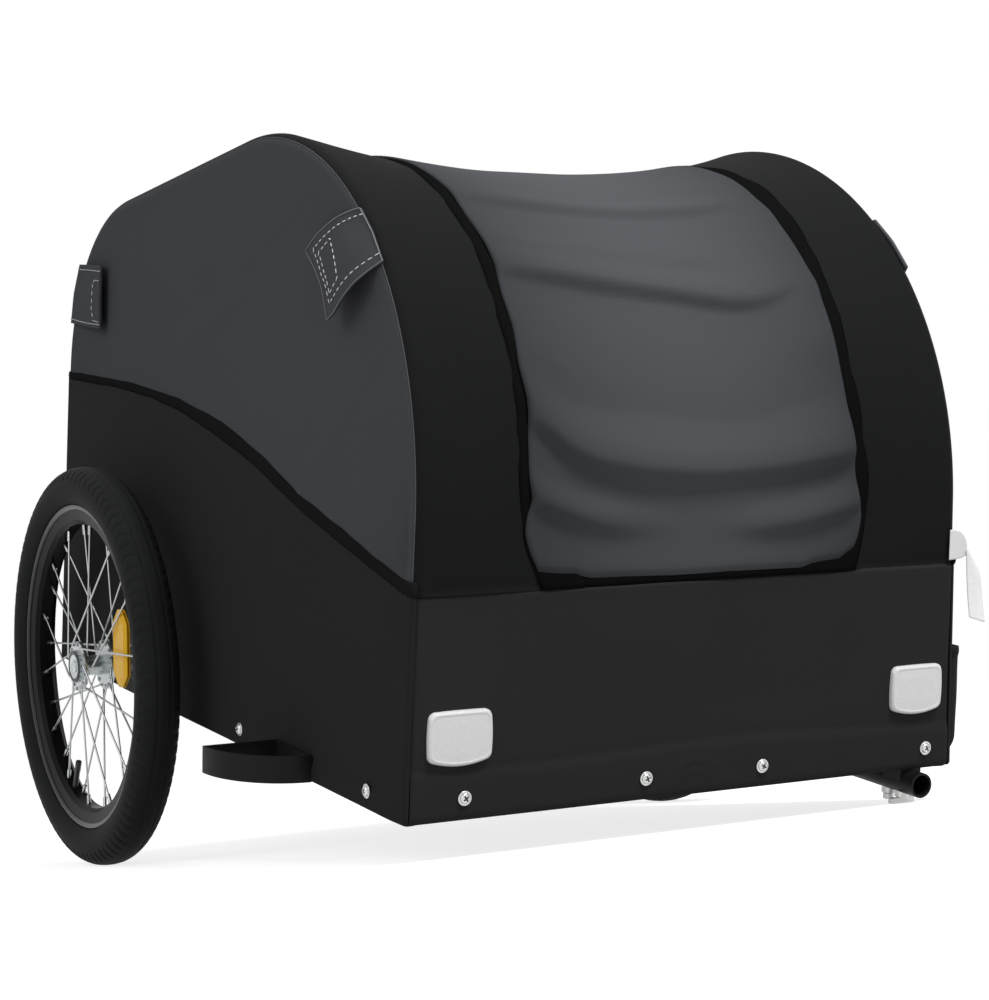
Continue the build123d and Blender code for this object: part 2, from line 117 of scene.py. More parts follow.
def arch(along, sag=0.0, out=0.0):
    """The canopy's side outline, a distance along it from the front tub seam and `out` from it."""
    along, sag, out = np.broadcast_arrays(*(np.asarray(each, float) for each in (along, sag, out)))
    starts = np.concatenate([[0.0], STRETCHES[:-1]])
    part = [np.clip((along - a) / (b - a), 0, 1) for a, b in zip(starts, STRETCHES)]
    front, rear, rear_y, fall = bends(sag)
    turned = math.pi - part[1] * (math.pi / 2 + fall)
    turned_back = math.pi / 2 - fall - part[3] * (math.pi / 2 - fall)
    on_front = part[2] < 0.5
    angle = np.where(on_front, turned, turned_back)
    y = front + front * np.cos(turned)
    z = FRONT_TOP + part[0] * (FRONT_SPRING - FRONT_TOP) + front * np.sin(turned)
    y = y + part[2] * (rear_y + rear * np.sin(fall) - front * (1 + np.sin(fall)))
    z = z + part[2] * (REAR_SPRING - FRONT_SPRING + (rear - front) * np.cos(fall))
    y = y + rear * (np.cos(turned_back) - np.sin(fall))
    z = z + rear * (np.sin(turned_back) - np.cos(fall)) - part[4] * (REAR_SPRING - REAR_TOP)
    return y + out * np.cos(angle), z + out * np.sin(angle)


def wall_x(z):
    """How far out the leaning side wall stands at height z."""
    return HALF_WIDTH - (z - BOTTOM) * LEAN


def hoop_x(along):
    """How far out the hoop's crest line runs, a distance along the canopy."""
    return wall_x(arch(along)[1]) - HOOP


def roof(x, along, out=0.0):
    """A point of the roof fabric, which sags between the hoops and lies a little unevenly."""
    crest = hoop_x(along)
    share = np.clip(1 - (x / crest) ** 2, 0, 1)
    loose = ripple(7.0, 0.15, 0.0022, along, x) * np.clip((crest - np.abs(x)) / 0.03, 0, 1)
    y, z = arch(along, COVER_SAG * share, out + loose)
    return np.stack(np.broadcast_arrays(x, y, z), -1)


def between(value, marks, reach=0.0):
    """A value read off listed marks, with their corners eased over a reach each way."""
    places, values = zip(*marks)
    near = np.asarray(value, float)[..., None] + np.linspace(-reach, reach, 7)
    return np.interp(near, places, values).mean(-1)


# The bound seam between the black tub and the grey upper side: its upper and lower edge, by y.
BINDING_TOP = (
    (-0.02, 0.3640), (0.0, 0.3645), (0.0175, 0.3660), (0.064, 0.3750), (0.132, 0.3920), (0.215, 0.4100),
    (0.265, 0.4260), (0.327, 0.4440), (0.399, 0.4610), (0.513, 0.4750), (0.626, 0.4810), (0.70, 0.4815),
    (0.86, 0.4800),
)
BINDING_FOOT = (
    (-0.02, 0.3515), (0.0, 0.3516), (0.013, 0.3524), (0.061, 0.3637), (0.127, 0.3770), (0.192, 0.3925),
    (0.246, 0.4060), (0.333, 0.4310), (0.410, 0.4465), (0.494, 0.4610), (0.580, 0.4700),
    (0.671, 0.4735), (0.86, 0.4725),
)


def seam_height(y):
    """The middle of the bound seam on the side."""
    return (between(y, BINDING_TOP, 0.015) + between(y, BINDING_FOOT, 0.015)) / 2


def ripple(seed, size, depth, *at):
    """Smooth random unevenness: depth is its height, size the width of one swell."""
    shape = np.broadcast(*at).shape
    terms = [np.broadcast_to(a, shape).ravel() / size for a in at]
    flat = np.stack(terms + [np.full(shape, seed).ravel()], 1)
    flat = np.pad(flat, ((0, 0), (0, max(0, 3 - flat.shape[1]))))[:, :3]
    return depth * np.array([noise.noise(Vector(p)) for p in flat]).reshape(shape)


def hump(value, centre, width):
    """A bell curve about centre."""
    return np.exp(-(((value - centre) / width) ** 2))


def side_swell(y, z):
    """How the side fabric stands out from its plane: rails press it out, open spans let it fall in."""
    rail_height = 0.0165
    span = np.clip((z - seam_height(y)) / 0.2, 0, 1) * np.clip((0.7 - z) / 0.12, 0, 1)
    sag = -0.0035 * span * np.clip(y / 0.15, 0, 1) * np.clip((LENGTH - y) / 0.15, 0, 1)
    above = z - BOTTOM - rail_height - 0.012 * np.clip((0.05 - y) / 0.05, 0, 1) - 0.0015 * np.sin(y * 23)
    near = np.clip((0.24 - y) / 0.05, 0, 1)
    rail = near * (0.0012 / (1 + np.exp(above / 0.0014)) - 0.0008 * hump(above, 0.0025, 0.0016))
    return sag + rail + ripple(3.0, 0.19, 0.0020, y, z) * span + ripple(5.0, 0.11, 0.0007, y, z)


def around(sign, reach, z, out=0.0):
    """A point of the side's fabric, which turns the tub's corners on to its end walls. reach is measured
    along the wall from the front corner's end."""
    straight = LENGTH - 2 * CORNER
    turned = np.clip(-reach / CORNER, 0, math.pi / 2)
    turned_back = np.clip((reach - straight) / CORNER, 0, math.pi / 2)
    past = np.maximum(np.maximum(-reach, reach - straight) - CORNER * math.pi / 2, 0)
    inside = np.clip(reach, 0, straight)
    ends = np.clip(inside / 0.02, 0, 1) * np.clip((straight - inside) / 0.02, 0, 1)
    swell = side_swell(inside + CORNER, z) * ends
    radius = CORNER + out + swell
    x = wall_x(z) - CORNER + radius * np.cos(turned) * np.cos(turned_back) - past
    y = CORNER + inside + radius * (np.sin(turned_back) - np.sin(turned))
    return np.stack(np.broadcast_arrays(sign * x, y, z), -1)


# ---- meshes ----
turn = Matrix((
    (1, 0, 0), (0, rearwards.y, upwards.y), (0, rearwards.z, upwards.z),
)).to_4x4()
REST = Matrix.Translation(axle * Vector((0, 1, 1))) @ turn @ Matrix.Translation(-Vector(LEVEL_AXLE))


def add_object(name, mesh):
    """Adds an object that holds the mesh, at the origin."""
    piece = bpy.data.objects.new(name, mesh)
    bpy.context.scene.collection.objects.link(piece)
    return piece


def rest(mesh):
    """Turns a mesh drawn on the level trailer into its place on the resting one."""
    mesh.transform(REST)
    mesh.update()
    return mesh


def run_along(line):
    """The distance along a line of points, at each of them."""
    return np.concatenate([[0], np.cumsum(np.linalg.norm(np.diff(line, axis=0), axis=1))])


def grid_mesh(name, points, closed=False):
    """A sheet of quads through a grid of points, with a UV map in metres."""
    rows, columns = points.shape[:2]
    index = np.arange(rows * columns).reshape(rows, columns)
    index = np.concatenate([index, index[:, :1]], 1) if closed else index
    a, b, c, d = index[:-1, :-1], index[:-1, 1:], index[1:, 1:], index[1:, :-1]
    faces = np.stack([a, b, c, d], -1).reshape(-1, 4)
    mesh = bpy.data.meshes.new(name)
    mesh.from_pydata(points.reshape(-1, 3).tolist(), [], faces.tolist())
    width, height = run_along(points[rows // 2]), run_along(points[:, columns // 2])
    where = np.stack(np.meshgrid(width, height), -1).reshape(-1, 2)
    layer = mesh.uv_layers.new(name="cloth")
    corners = np.zeros(len(mesh.loops), int)
    mesh.loops.foreach_get("vertex_index", corners)
    layer.data.foreach_set("uv", where[corners].ravel())
    mesh.shade_smooth()
    return mesh


def finished(piece, finish, body, replaced):
    """Gives a piece its material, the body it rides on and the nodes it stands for."""
    piece.data.materials.clear()
    piece.data.materials.append(finish)
    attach(piece, body)
    if replaced:
        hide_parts(*replaced)
    return piece


def fitted(name, mesh, finish, body, replaced):
    """Adds a mesh drawn on the level trailer as a finished piece."""
    return finished(add_object(name, rest(mesh)), finish, body, replaced)


def cloth(name, points, finish, replaced, outward, flat, area=None, thickness=SKIN):
    """A fabric piece riding on the trailer's frame: a grid of points, given its thickness inwards. flat, a (width,
    length), is not used."""
    mesh = grid_mesh(name, points)
    middle = mesh.polygons[len(mesh.polygons) // 2]
    if middle.normal.dot(Vector(outward)) < 0:
        mesh.flip_normals()
    piece = add_object(name, rest(mesh))
    wall = piece.modifiers.new("thickness", "SOLIDIFY")
    wall.thickness, wall.offset = thickness, -1
    wall.use_even_offset = False
    finished(piece, finish, "frame", replaced)


def tube(name, path, radius, closed=False):
    """A thin round bead along a path of points, with capped ends."""
    sides = 6
    path = np.asarray(path, float)
    ahead = np.roll(path, -1, 0) - np.roll(path, 1, 0)
    if not closed:
        ahead[0], ahead[-1] = path[1] - path[0], path[-1] - path[-2]
    ahead /= np.linalg.norm(ahead, axis=1)[:, None]
    across = np.cross(ahead[0], (0.3, 0.5, 0.8))
    rings = []
    for point, direction in zip(path, ahead):
        across = across - direction * (across @ direction)
        across /= np.linalg.norm(across)
        up = np.cross(direction, across)
        angles = np.linspace(0, 2 * math.pi, sides, endpoint=False)
        rings.append(point + radius * (np.cos(angles)[:, None] * across + np.sin(angles)[:, None] * up))
    mesh = bpy.data.meshes.new(name)
    count = len(rings)
    faces = []
    for k in range(count if closed else count - 1):
        for j in range(sides):
            step, beside = (k + 1) % count, (j + 1) % sides
            faces.append((k * sides + j, k * sides + beside, step * sides + beside, step * sides + j))
    if not closed:
        faces += [tuple(range(sides))[::-1], tuple((count - 1) * sides + j for j in range(sides))]
    mesh.from_pydata(np.concatenate(rings).tolist(), [], faces)
    outwards(mesh)
    mesh.shade_smooth()
    return mesh


def outwards(mesh):
    """Merges doubled points and turns every face outwards."""
    form = bmesh.new()
    form.from_mesh(mesh)
    bmesh.ops.remove_doubles(form, verts=form.verts, dist=1e-6)
    bmesh.ops.recalc_face_normals(form, faces=form.faces)
    form.to_mesh(mesh)
    form.free()
    return mesh


def lathe(name, profile, steps):
    """A mesh turned about Z from a profile of (radius, height) points, closed on the axis."""
    angles = np.linspace(0, 2 * math.pi, steps, endpoint=False)
    profile = np.array(profile, float)
    ring = np.stack([np.cos(angles), np.sin(angles)], 1)
    points = np.concatenate([
        profile[:, :1, None] * ring[None],
        np.broadcast_to(profile[:, 1, None, None], (len(profile), steps, 1)),
    ], 2)
    mesh = grid_mesh(name, points, closed=True)
    outwards(mesh)
    mesh.set_sharp_from_angle(angle=math.radians(40))
    return mesh


# ---- shader building ----
class Wire:
    """The output of a node. Arithmetic on it adds Math nodes to its tree."""

    def __init__(self, works, socket):
        self.works, self.socket = works, socket

    def math(self, operation, *terms):
        return self.works.node("ShaderNodeMath", {"operation": operation}, dict(enumerate(terms)))

    def __add__(self, other):
        return self.math("ADD", self, other)

    def __sub__(self, other):
        return self.math("SUBTRACT", self, other)

    def __rsub__(self, other):
        return self.math("SUBTRACT", other, self)

    def __mul__(self, other):
        return self.math("MULTIPLY", self, other)

    def __truediv__(self, other):
        return self.math("DIVIDE", self, other)

    def __rtruediv__(self, other):
        return self.math("DIVIDE", other, self)

    __radd__ = __add__
    __rmul__ = __mul__

    def sine(self):
        return self.math("SINE", self)

    def clamped(self):
        return self.works.node("ShaderNodeClamp", {}, {"Value": self})


class Works:
    """A node tree under construction."""

    def __init__(self, tree):
        self.tree = tree

    def node(self, kind, settings, inputs, output=0):
        """Adds a node with its settings and its sockets' values or links. Returns the output asked for, or
        a list of them where several are."""
        made = self.tree.nodes.new(kind)
        for setting, value in settings.items():
            setattr(made, setting, value)
        for socket, value in inputs.items():
            if isinstance(value, Wire):
                self.tree.links.new(value.socket, made.inputs[socket])
            else:
                made.inputs[socket].default_value = value
        if isinstance(output, (tuple, range)):
            return [Wire(self, made.outputs[each]) for each in output]
        return None if output is None else Wire(self, made.outputs[output])

    def join(self, wire, node, socket):
        """Links a wire to a socket of a node that the tree came with."""
        self.tree.links.new(wire.socket, self.tree.nodes[node].inputs[socket])

    def seen(self):
        """1 for rays that look at a surface straight or by way of metal or glass, and 0 for the others."""
        ways = ("Is Camera Ray", "Is Glossy Ray", "Is Transmission Ray")
        straight, mirrored, through = self.node("ShaderNodeLightPath", {}, {}, ways)
        return (straight + (mirrored + through)).clamped()


class Finish(Works):
    """A material under construction, on one Principled shader."""

    def __init__(self, name, **constants):
        self.material = bpy.data.materials.new(name)
        self.material.use_nodes = True
        super().__init__(self.material.node_tree)
        self.shader = self.tree.nodes["Principled BSDF"]
        for socket, value in constants.items():
            self.shader.inputs[socket.replace("_", " ")].default_value = value

    def feed(self, socket, wire):
        self.join(wire, "Principled BSDF", socket)

    def place(self):
        return self.node("ShaderNodeTexCoord", {}, {}, "Object")

    def cloth_place(self):
        return self.node("ShaderNodeUVMap", {"uv_map": "cloth"}, {})

    def speckle(self, where, scale, detail=3.0, roughness=0.5):
        inputs = {"Vector": where, "Scale": scale, "Detail": detail, "Roughness": roughness}
        return self.node("ShaderNodeTexNoise", {"noise_dimensions": "3D"}, inputs, "Fac")

    def blend(self, factor, first, second):
        return self.node("ShaderNodeMix", {"data_type": "RGBA"}, {0: factor, 6: first, 7: second}, 2)

    def bump(self, height, distance, strength=1.0):
        inputs = {"Height": height, "Distance": distance, "Strength": strength}
        self.feed("Normal", self.node("ShaderNodeBump", {}, inputs))

    def parts(self, vector):
        return self.node("ShaderNodeSeparateXYZ", {}, {"Vector": vector}, range(3))


class Repeater(Works):
    """A geometry tree that copies a shape over points, with its sizes as named inputs."""

    KINDS = {
        float: "NodeSocketFloat", int: "NodeSocketInt", "object": "NodeSocketObject",
        "material": "NodeSocketMaterial",
    }

    def __init__(self, name, **sizes):
        super().__init__(bpy.data.node_groups.new(name, "GeometryNodeTree"))
        self.tree.is_modifier = True
        sockets = self.tree.interface
        for way in ("OUTPUT", "INPUT"):
            sockets.new_socket("Geometry", in_out=way, socket_type="NodeSocketGeometry")
        self.keys = {}
        for size, kind in (*sizes.items(), ("Finish", "material")):
            made = sockets.new_socket(size, in_out="INPUT", socket_type=self.KINDS[kind])
            self.keys[size] = made.identifier

    def given(self, name):
        """One of the tree's own inputs."""
        return self.node("NodeGroupInput", {}, {}, name)

    def facing(self):
        """The outward direction that path_mesh stores on its points."""
        kind = {"data_type": "FLOAT_VECTOR"}
        return self.node("GeometryNodeInputNamedAttribute", kind, {"Name": "facing"})

    def copies(self, points, instance, **turned):
        """A copy of a shape on every point."""
        inputs = {"Points": points, "Instance": instance, **turned}
        return self.node("GeometryNodeInstanceOnPoints", {}, inputs)

    def finish(self, instances, weld=False):
        """Ends the tree: copies made real, welded where they meet, and given their material."""
        shape = self.node("GeometryNodeRealizeInstances", {}, {"Geometry": instances})
        if weld:
            shape = self.node("GeometryNodeMergeByDistance", {}, {"Geometry": shape, "Distance": 0.00001})
        finish = self.given("Finish")
        shape = self.node("GeometryNodeSetMaterial", {}, {"Geometry": shape, "Material": finish})
        self.node("NodeGroupOutput", {}, {"Geometry": shape}, None)
        return self

    def run(self, name, mesh, **sizes):
        """Runs the tree on a mesh and returns the result as a new plain mesh."""
        carrier = add_object(name, mesh)
        repeat = carrier.modifiers.new("repeat", "NODES")
        repeat.node_group = self.tree
        for size, value in sizes.items():
            repeat[self.keys[size]] = value
        view = bpy.context.evaluated_depsgraph_get()
        result = bpy.data.meshes.new_from_object(carrier.evaluated_get(view))
        bpy.data.objects.remove(carrier)
        return result


def shade(colour, factor=1.0):
    """A colour for a socket, with its brightness scaled."""
    return (*[c * factor for c in colour], 1.0)


def woven(name, colour, thread=0.0011, depth=0.00012, uneven=0.10, side_shade=0.0):
    """A coated polyester weave: crossing threads and faint mottling. Its last argument paints shade into the
    colour: darker towards the piece's side edges, where a cover's cloth curves away from the light.
    """
    finish = Finish(name, Specular_IOR_Level=0.05)
    where = finish.cloth_place()
    u, v, _ = finish.parts(where)
    turns = 2 * math.pi / thread
    weave = (u * turns).sine() * (v * turns).sine()
    broad = finish.speckle(where, 9.0, 4.0)
    fine = finish.speckle(where, 420.0, 2.0)
    mottle = (broad * 0.6 + fine * 0.4).clamped()
    plain, dark = (
        finish.blend(mottle, shade(colour, level * (1 - uneven)), shade(colour, level * (1 + uneven)))
        for level in (1.0, 1.0 - side_shade)
    )
    # painted shade: the colour falls off towards the side edges, across the cloth's width
    aside = u / 0.166 - 1.0
    finish.feed("Base Color", finish.blend((aside * aside).clamped(), plain, dark) if side_shade else plain)
    finish.feed("Roughness", fine * 0.12 + 0.82)
    finish.bump(weave * 0.5 + fine * 0.6, depth)
    return finish.material


def webbing(name, colour, rib=0.0022):
    """Ribbed binding tape."""
    finish = Finish(name, Specular_IOR_Level=0.0)
    where = finish.cloth_place()
    u, v, _ = finish.parts(where)
    ribs = (u * (2 * math.pi / rib)).sine()
    fibres = finish.speckle(where, 600.0, 2.0)
    finish.feed("Base Color", finish.blend(fibres, shade(colour, 0.85), shade(colour, 1.2)))
    finish.feed("Roughness", fibres * 0.1 + 0.78)
    finish.bump(ribs * 0.5 + fibres * 0.5, 0.00015)
    return finish.material


def coated_steel(name, colour, roughness=0.38, gloss=0.5):
    """Powder-coated steel with a fine orange-peel surface."""
    finish = Finish(name, Specular_IOR_Level=gloss)
    where = finish.place()
    peel = finish.speckle(where, 900.0, 2.0)
    dust = finish.speckle(where, 14.0, 4.0)
    finish.feed("Base Color", finish.blend(dust, shade(colour, 0.85), shade(colour, 1.2)))
    finish.feed("Roughness", peel * 0.12 + (roughness - 0.05))
    finish.bump(peel, 0.00004)
    return finish.material


def bright_metal(name, colour, roughness):
    """Plated or polished metal with faint drawing marks."""
    finish = Finish(name, Metallic=1.0)
    where = finish.place()
    marks = finish.speckle(where, 1400.0, 3.0)
    cloud = finish.speckle(where, 40.0, 3.0)
    finish.feed("Base Color", finish.blend(cloud, shade(colour, 0.9), shade(colour, 1.05)))
    finish.feed("Roughness", marks * 0.18 + (roughness - 0.06))
    finish.bump(marks, 0.00002)
    return finish.material


def rubber(name, colour):
    """Matt tyre rubber with a faint, patchy bloom of dust."""
    finish = Finish(name, Specular_IOR_Level=0.04)
    where = finish.place()
    bloom = finish.speckle(where, 22.0, 5.0, 0.6)
    grain = finish.speckle(where, 700.0, 3.0)
    finish.feed("Base Color", finish.blend(bloom, shade(colour, 0.8), shade(colour, 1.25)))
    finish.feed("Roughness", grain * 0.2 + 0.55)
    finish.bump(grain, 0.00006)
    return finish.material


def prism_lens(name, colour, dark, cell=0.0032, glow=0.0, gloss=0.6):
    """Reflector plastic: a clear gloss over rows of tiny cube corners. A glow paints light into it: a faint
    emission in the lens colour, standing in for light shining through the plastic.
    """
    finish = Finish(name, Specular_IOR_Level=gloss, Coat_Weight=gloss, Coat_Roughness=0.08)
    where = finish.place()
    x, y, z = finish.parts(where)
    turns = 2 * math.pi / cell
    first = ((x + y * 0.4) * turns).sine()
    second = ((x * 0.5 + z * 0.87) * turns).sine()
    third = ((x * 0.5 - z * 0.87 + y * 0.3) * turns).sine()
    cells = (first * second * third * 0.5 + 0.5).clamped()
    finish.feed("Base Color", finish.blend(cells, shade(dark), shade(colour)))
    finish.feed("Roughness", cells * 0.15 + 0.16)
    finish.bump(cells, 0.0003, 0.5)
    # painted light: a faint emission stands in for light passing through the lens
    if glow:
        finish.shader.inputs["Emission Color"].default_value = shade(colour)
        finish.shader.inputs["Emission Strength"].default_value = glow
    return finish.material


def plain_plastic(name, colour, roughness=0.5, gloss=0.4):
    """Moulded sheet with a fine grain."""
    finish = Finish(name, Specular_IOR_Level=gloss)
    grain = finish.speckle(finish.place(), 500.0, 3.0)
    finish.feed("Base Color", finish.blend(grain, shade(colour, 0.9), shade(colour, 1.1)))
    finish.feed("Roughness", grain * 0.1 + (roughness - 0.05))
    finish.bump(grain, 0.00005)
    return finish.material


TUB_BLACK = woven("tub_cloth", (0.0232, 0.0238, 0.0234))
SIDE_BLACK = woven("tub_side_cloth", (0.0190, 0.0192, 0.0192))
BAND_BLACK = woven("band_cloth", (0.0100, 0.0104, 0.0106))
# painted shade: the cover is coloured darker towards its side edges, where its cloth curves down away from the
# light
COVER_GREY = woven("cover_cloth", (0.0705, 0.0730, 0.0800), uneven=0.05, side_shade=0.38)
SIDE_GREY = woven("upper_side_cloth", (0.062, 0.064, 0.070), uneven=0.05)
BINDING = webbing("binding_tape", (0.0056, 0.0058, 0.0058))
SEAM_TAPE = webbing("seam_tape", (0.0120, 0.0124, 0.0124))
PIPING_GREY = webbing("grey_piping", (0.085, 0.087, 0.093), 0.0015)
# painted highlight: a light grey for the beads along the front tabs' edges, brighter than their cloth
EDGE_HIGHLIGHT = webbing("cut_edge", (0.20, 0.205, 0.215), 0.0015)
THREAD = plain_plastic("sewing_thread", (0.80, 0.81, 0.81), 0.7)
CARD_WHITE = plain_plastic("tag_card", (0.90, 0.90, 0.90), 0.6, 0.1)
TAPE_WHITE = woven("tag_ribbon", (0.78, 0.79, 0.78), thread=0.0007, depth=0.00005, uneven=0.02)
RUBBER = rubber("tyre_rubber", (0.0150, 0.0157, 0.0157))
RIM_BLACK = coated_steel("rim_black", (0.0065, 0.0068, 0.0070), 0.30, 0.05)
RIM_EDGE = coated_steel("rim_edge", (0.0120, 0.0125, 0.0125), 0.22, 0.30)
STEEL_BLACK = coated_steel("frame_black", (0.0085, 0.0085, 0.0088), 0.36, 0.10)
WIRE_STEEL = bright_metal("spoke_wire", (0.42, 0.43, 0.43), 0.24)
HUB_ALLOY = bright_metal("hub_plate", (0.50, 0.53, 0.54), 0.24)
ZINC = bright_metal("zinc_plate", (0.55, 0.56, 0.55), 0.30)
WHITE_LENS = prism_lens("white_lens", (0.80, 0.82, 0.80), (0.44, 0.46, 0.45), 0.0029)
RED_LENS = prism_lens("red_lens", (0.50, 0.012, 0.010), (0.22, 0.004, 0.004))
# The amber lens's faint glow is painted light, for light shining through it.
AMBER_LENS = prism_lens("amber_lens", (0.74, 0.31, 0.006), (0.36, 0.12, 0.002), 0.004, 0.03, 0.12)
BOARD = plain_plastic("floor_board", (0.022, 0.022, 0.022), 0.6)

FRAME_WHITE = plain_plastic("white_reflector_frame", (0.72, 0.73, 0.72), 0.3)
FRAME_RED = plain_plastic("red_reflector_frame", (0.35, 0.010, 0.009), 0.3)
# painted highlight: the bevel is coloured a lighter amber than the lens, for the light it catches
AMBER_BEVEL_LIT = plain_plastic("amber_bevel", (0.86, 0.48, 0.010), 0.22, 0.15)
CAP_BLACK = plain_plastic("black_caps", (0.012, 0.012, 0.012), 0.4)

NODE_FINISHES = {
    "rim_": RIM_BLACK, "spokes_": WIRE_STEEL, "hub_": HUB_ALLOY, "spoke_reflector": AMBER_LENS,
    "front_reflector": WHITE_LENS, "rear_reflector": RED_LENS, "axle_left": ZINC, "axle_right": ZINC,
    "clamp_screw": ZINC, "floor_board": BOARD, "tyre_": RUBBER,
}
SIDES = {"left": 1, "right": -1}


def finish_nodes():
    """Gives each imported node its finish, which is the frame's black steel for those not named above."""
    for name, node in nodes.items():
        finish = next((f for key, f in NODE_FINISHES.items() if name.startswith(key)), STEEL_BLACK)
        node.data.materials.clear()
        node.data.materials.append(finish)


def plate_clamp_bosses():
    """Plates the clamp screws' bosses, which are the tow socket's faces below its tube."""
    socket = nodes["tow_socket"].data
    socket.materials.append(ZINC)
    points = node_points("tow_socket") + LEVEL_AXLE
    mouth = points[points[:, 1] < points[:, 1].min() + 0.001]
    tube_middle, tube_half = (mouth.min(0) + mouth.max(0)) / 2, (mouth[:, 2].max() - mouth[:, 2].min()) / 2
    for face in socket.polygons:
        off = points[list(face.vertices)].mean(0) - tube_middle
        face.material_index = int(off[2] < 0 and math.hypot(off[0], off[2]) > tube_half + 0.0004)


# ---- the tub ----
def corner_inset(z):
    """How far in from the corner the seam between a side and an end wall runs."""
    return CORNER + 0.0012 * np.clip((FRONT_TOP - z) / (FRONT_TOP - BOTTOM), 0, 1)


def front_swell(x, z):
    """The end walls' relief: pressed out over the floor rail, creased above it, with two faint arcs at the
    foot's middle."""
    crease_height = 0.042
    above = z - BOTTOM
    crease = above - crease_height - 0.003 * np.sin(x * 14 + 1)
    rail = 0.0014 / (1 + np.exp(crease / 0.0022)) - 0.0006 * hump(crease, 0.004, 0.003)
    away = np.hypot(x, above)
    arcs = 0.0012 * hump(away, 0.031, 0.0028) + 0.0009 * hump(away, 0.022, 0.0025)
    return rail + arcs + ripple(11.0, 0.16, 0.0026, x, z) * np.clip((above - 0.03) / 0.05, 0, 1)


def end_walls():
    """The front and rear walls, with a hem at the top and their side edges tucked into the corner seams."""
    under = ((0.010, 0.0), (0.004, 0.0), (0.0012, 0.0006), (0.0, 0.0025))
    share = np.sin(np.linspace(-1, 1, 170) * math.pi / 2)
    for end, y_face, facing, top in (("front", 0.0, -1, FRONT_TOP), ("rear", LENGTH, 1, REAR_TOP)):
        heights = np.concatenate([
            np.linspace(BOTTOM + 0.006, top - 0.012, 60), top - 0.001 * np.arange(11, -2, -1),
        ])
        rows = []
        for inset, z in [(i, BOTTOM + lift) for i, lift in under] + [(0.0, z) for z in heights]:
            reach = wall_x(z) - corner_inset(z) - 0.0006
            x = share * reach
            hem = 0.0003 / (1 + math.exp(-(z - top + 0.009) / 0.0020))
            hem = hem - 0.0030 * max(0.0, (z - top + 0.0012) / 0.0024)
            tuck = -0.0014 * hump(reach - np.abs(x), 0.0, 0.0018)
            out = front_swell(x, z + 0 * x) * np.clip((z - BOTTOM) / 0.006, 0, 1) + hem + tuck
            rows.append(np.stack([x, y_face + facing * (out - inset), z + 0 * x], -1))
        cloth(
            f"{end}_wall", np.array(rows), TUB_BLACK, [f"{end}_panel"],
            (0, facing, 0), (2 * HALF_WIDTH, top - BOTTOM + 0.02),
        )


def tub_sides():
    """The black sides, which turn the tub's corners as far as the seams of the end walls."""
    straight = LENGTH - 2 * CORNER
    quarter = CORNER * math.pi / 2
    reach = np.concatenate([
        np.linspace(-quarter, 0, 7)[:-1], straight * (1 - np.cos(np.linspace(0, math.pi, 190))) / 2,
        straight + np.linspace(0, quarter, 7)[1:],
    ])
    top = np.clip(seam_height(reach + CORNER) + 0.0015, FRONT_TOP + 0.0025, REAR_TOP)
    under = ((-0.014, 0.0), (-0.006, 0.0), (-0.0015, 0.0008), (0.0, 0.003))
    levels = [(out, 0.0, lift) for out, lift in under] + [(0.0, f, 0.0) for f in np.linspace(0.04, 1, 66)]
    for label, sign in SIDES.items():
        rows = []
        for out, share, lift in levels:
            z = BOTTOM + lift + share * (top - BOTTOM)
            run = np.broadcast_to(corner_inset(z) - CORNER, z.shape)
            before = reach[0] - run[0] * np.array((1.0, 0.5))
            after = reach[-1] + run[-1] * np.array((0.5, 1.0))
            wide = np.concatenate([before, reach, after])
            tall = np.concatenate([[z[0]] * 2, z, [z[-1]] * 2])
            dip = np.zeros_like(wide)
            dip[[0, -1]] = -0.0014
            rows.append(around(sign, wide, tall, out + dip))
        cloth(
            f"tub_side_{label}", np.array(rows), SIDE_BLACK, [f"side_lower_{label}"],
            (sign, 0, 0), (LENGTH + 0.03, 0.29), area=(LENGTH + 0.03) * 0.26,
        )


def seam_binding():
    """The black tape over the wave-shaped seam between tub and upper side."""
    reach = np.linspace(-CORNER * 1.57, LENGTH - CORNER * 0.6, 330)  # 1.57 is a quarter turn
    y = np.clip(reach + CORNER, -0.004, LENGTH)
    top = between(y, BINDING_TOP, 0.006) + ripple(31.0, 0.035, 0.0012, y)
    foot = between(y, BINDING_FOOT, 0.006) + ripple(37.0, 0.045, 0.0012, y)
    share = np.linspace(0, 1, 9)[:, None]
    lift = 0.0005 + 0.0015 * np.sin(np.linspace(0, math.pi, 9))[:, None] ** 0.5
    fade = np.clip((LENGTH - 0.006 - reach) / 0.02, 0.1, 1)
    for label, sign in SIDES.items():
        points = around(sign, reach[None], foot + share * (top - foot), lift * fade[None])
        cloth(f"seam_binding_{label}", points, SEAM_TAPE, (), (sign, 0, 0), (LENGTH, 0.012))


# ---- the canopy ----
def hoop_wrap(along, turned, lift=0.0):
    """A point of fabric wrapped over a side hoop: turned runs from 0 on the side to a quarter on the roof."""
    edge = wall_x(arch(along)[1])
    radius = HOOP + lift
    y, z = arch(along, 0.0, radius * np.sin(turned) - HOOP)
    return np.stack(np.broadcast_arrays(edge - HOOP + radius * np.cos(turned), y, z), -1)


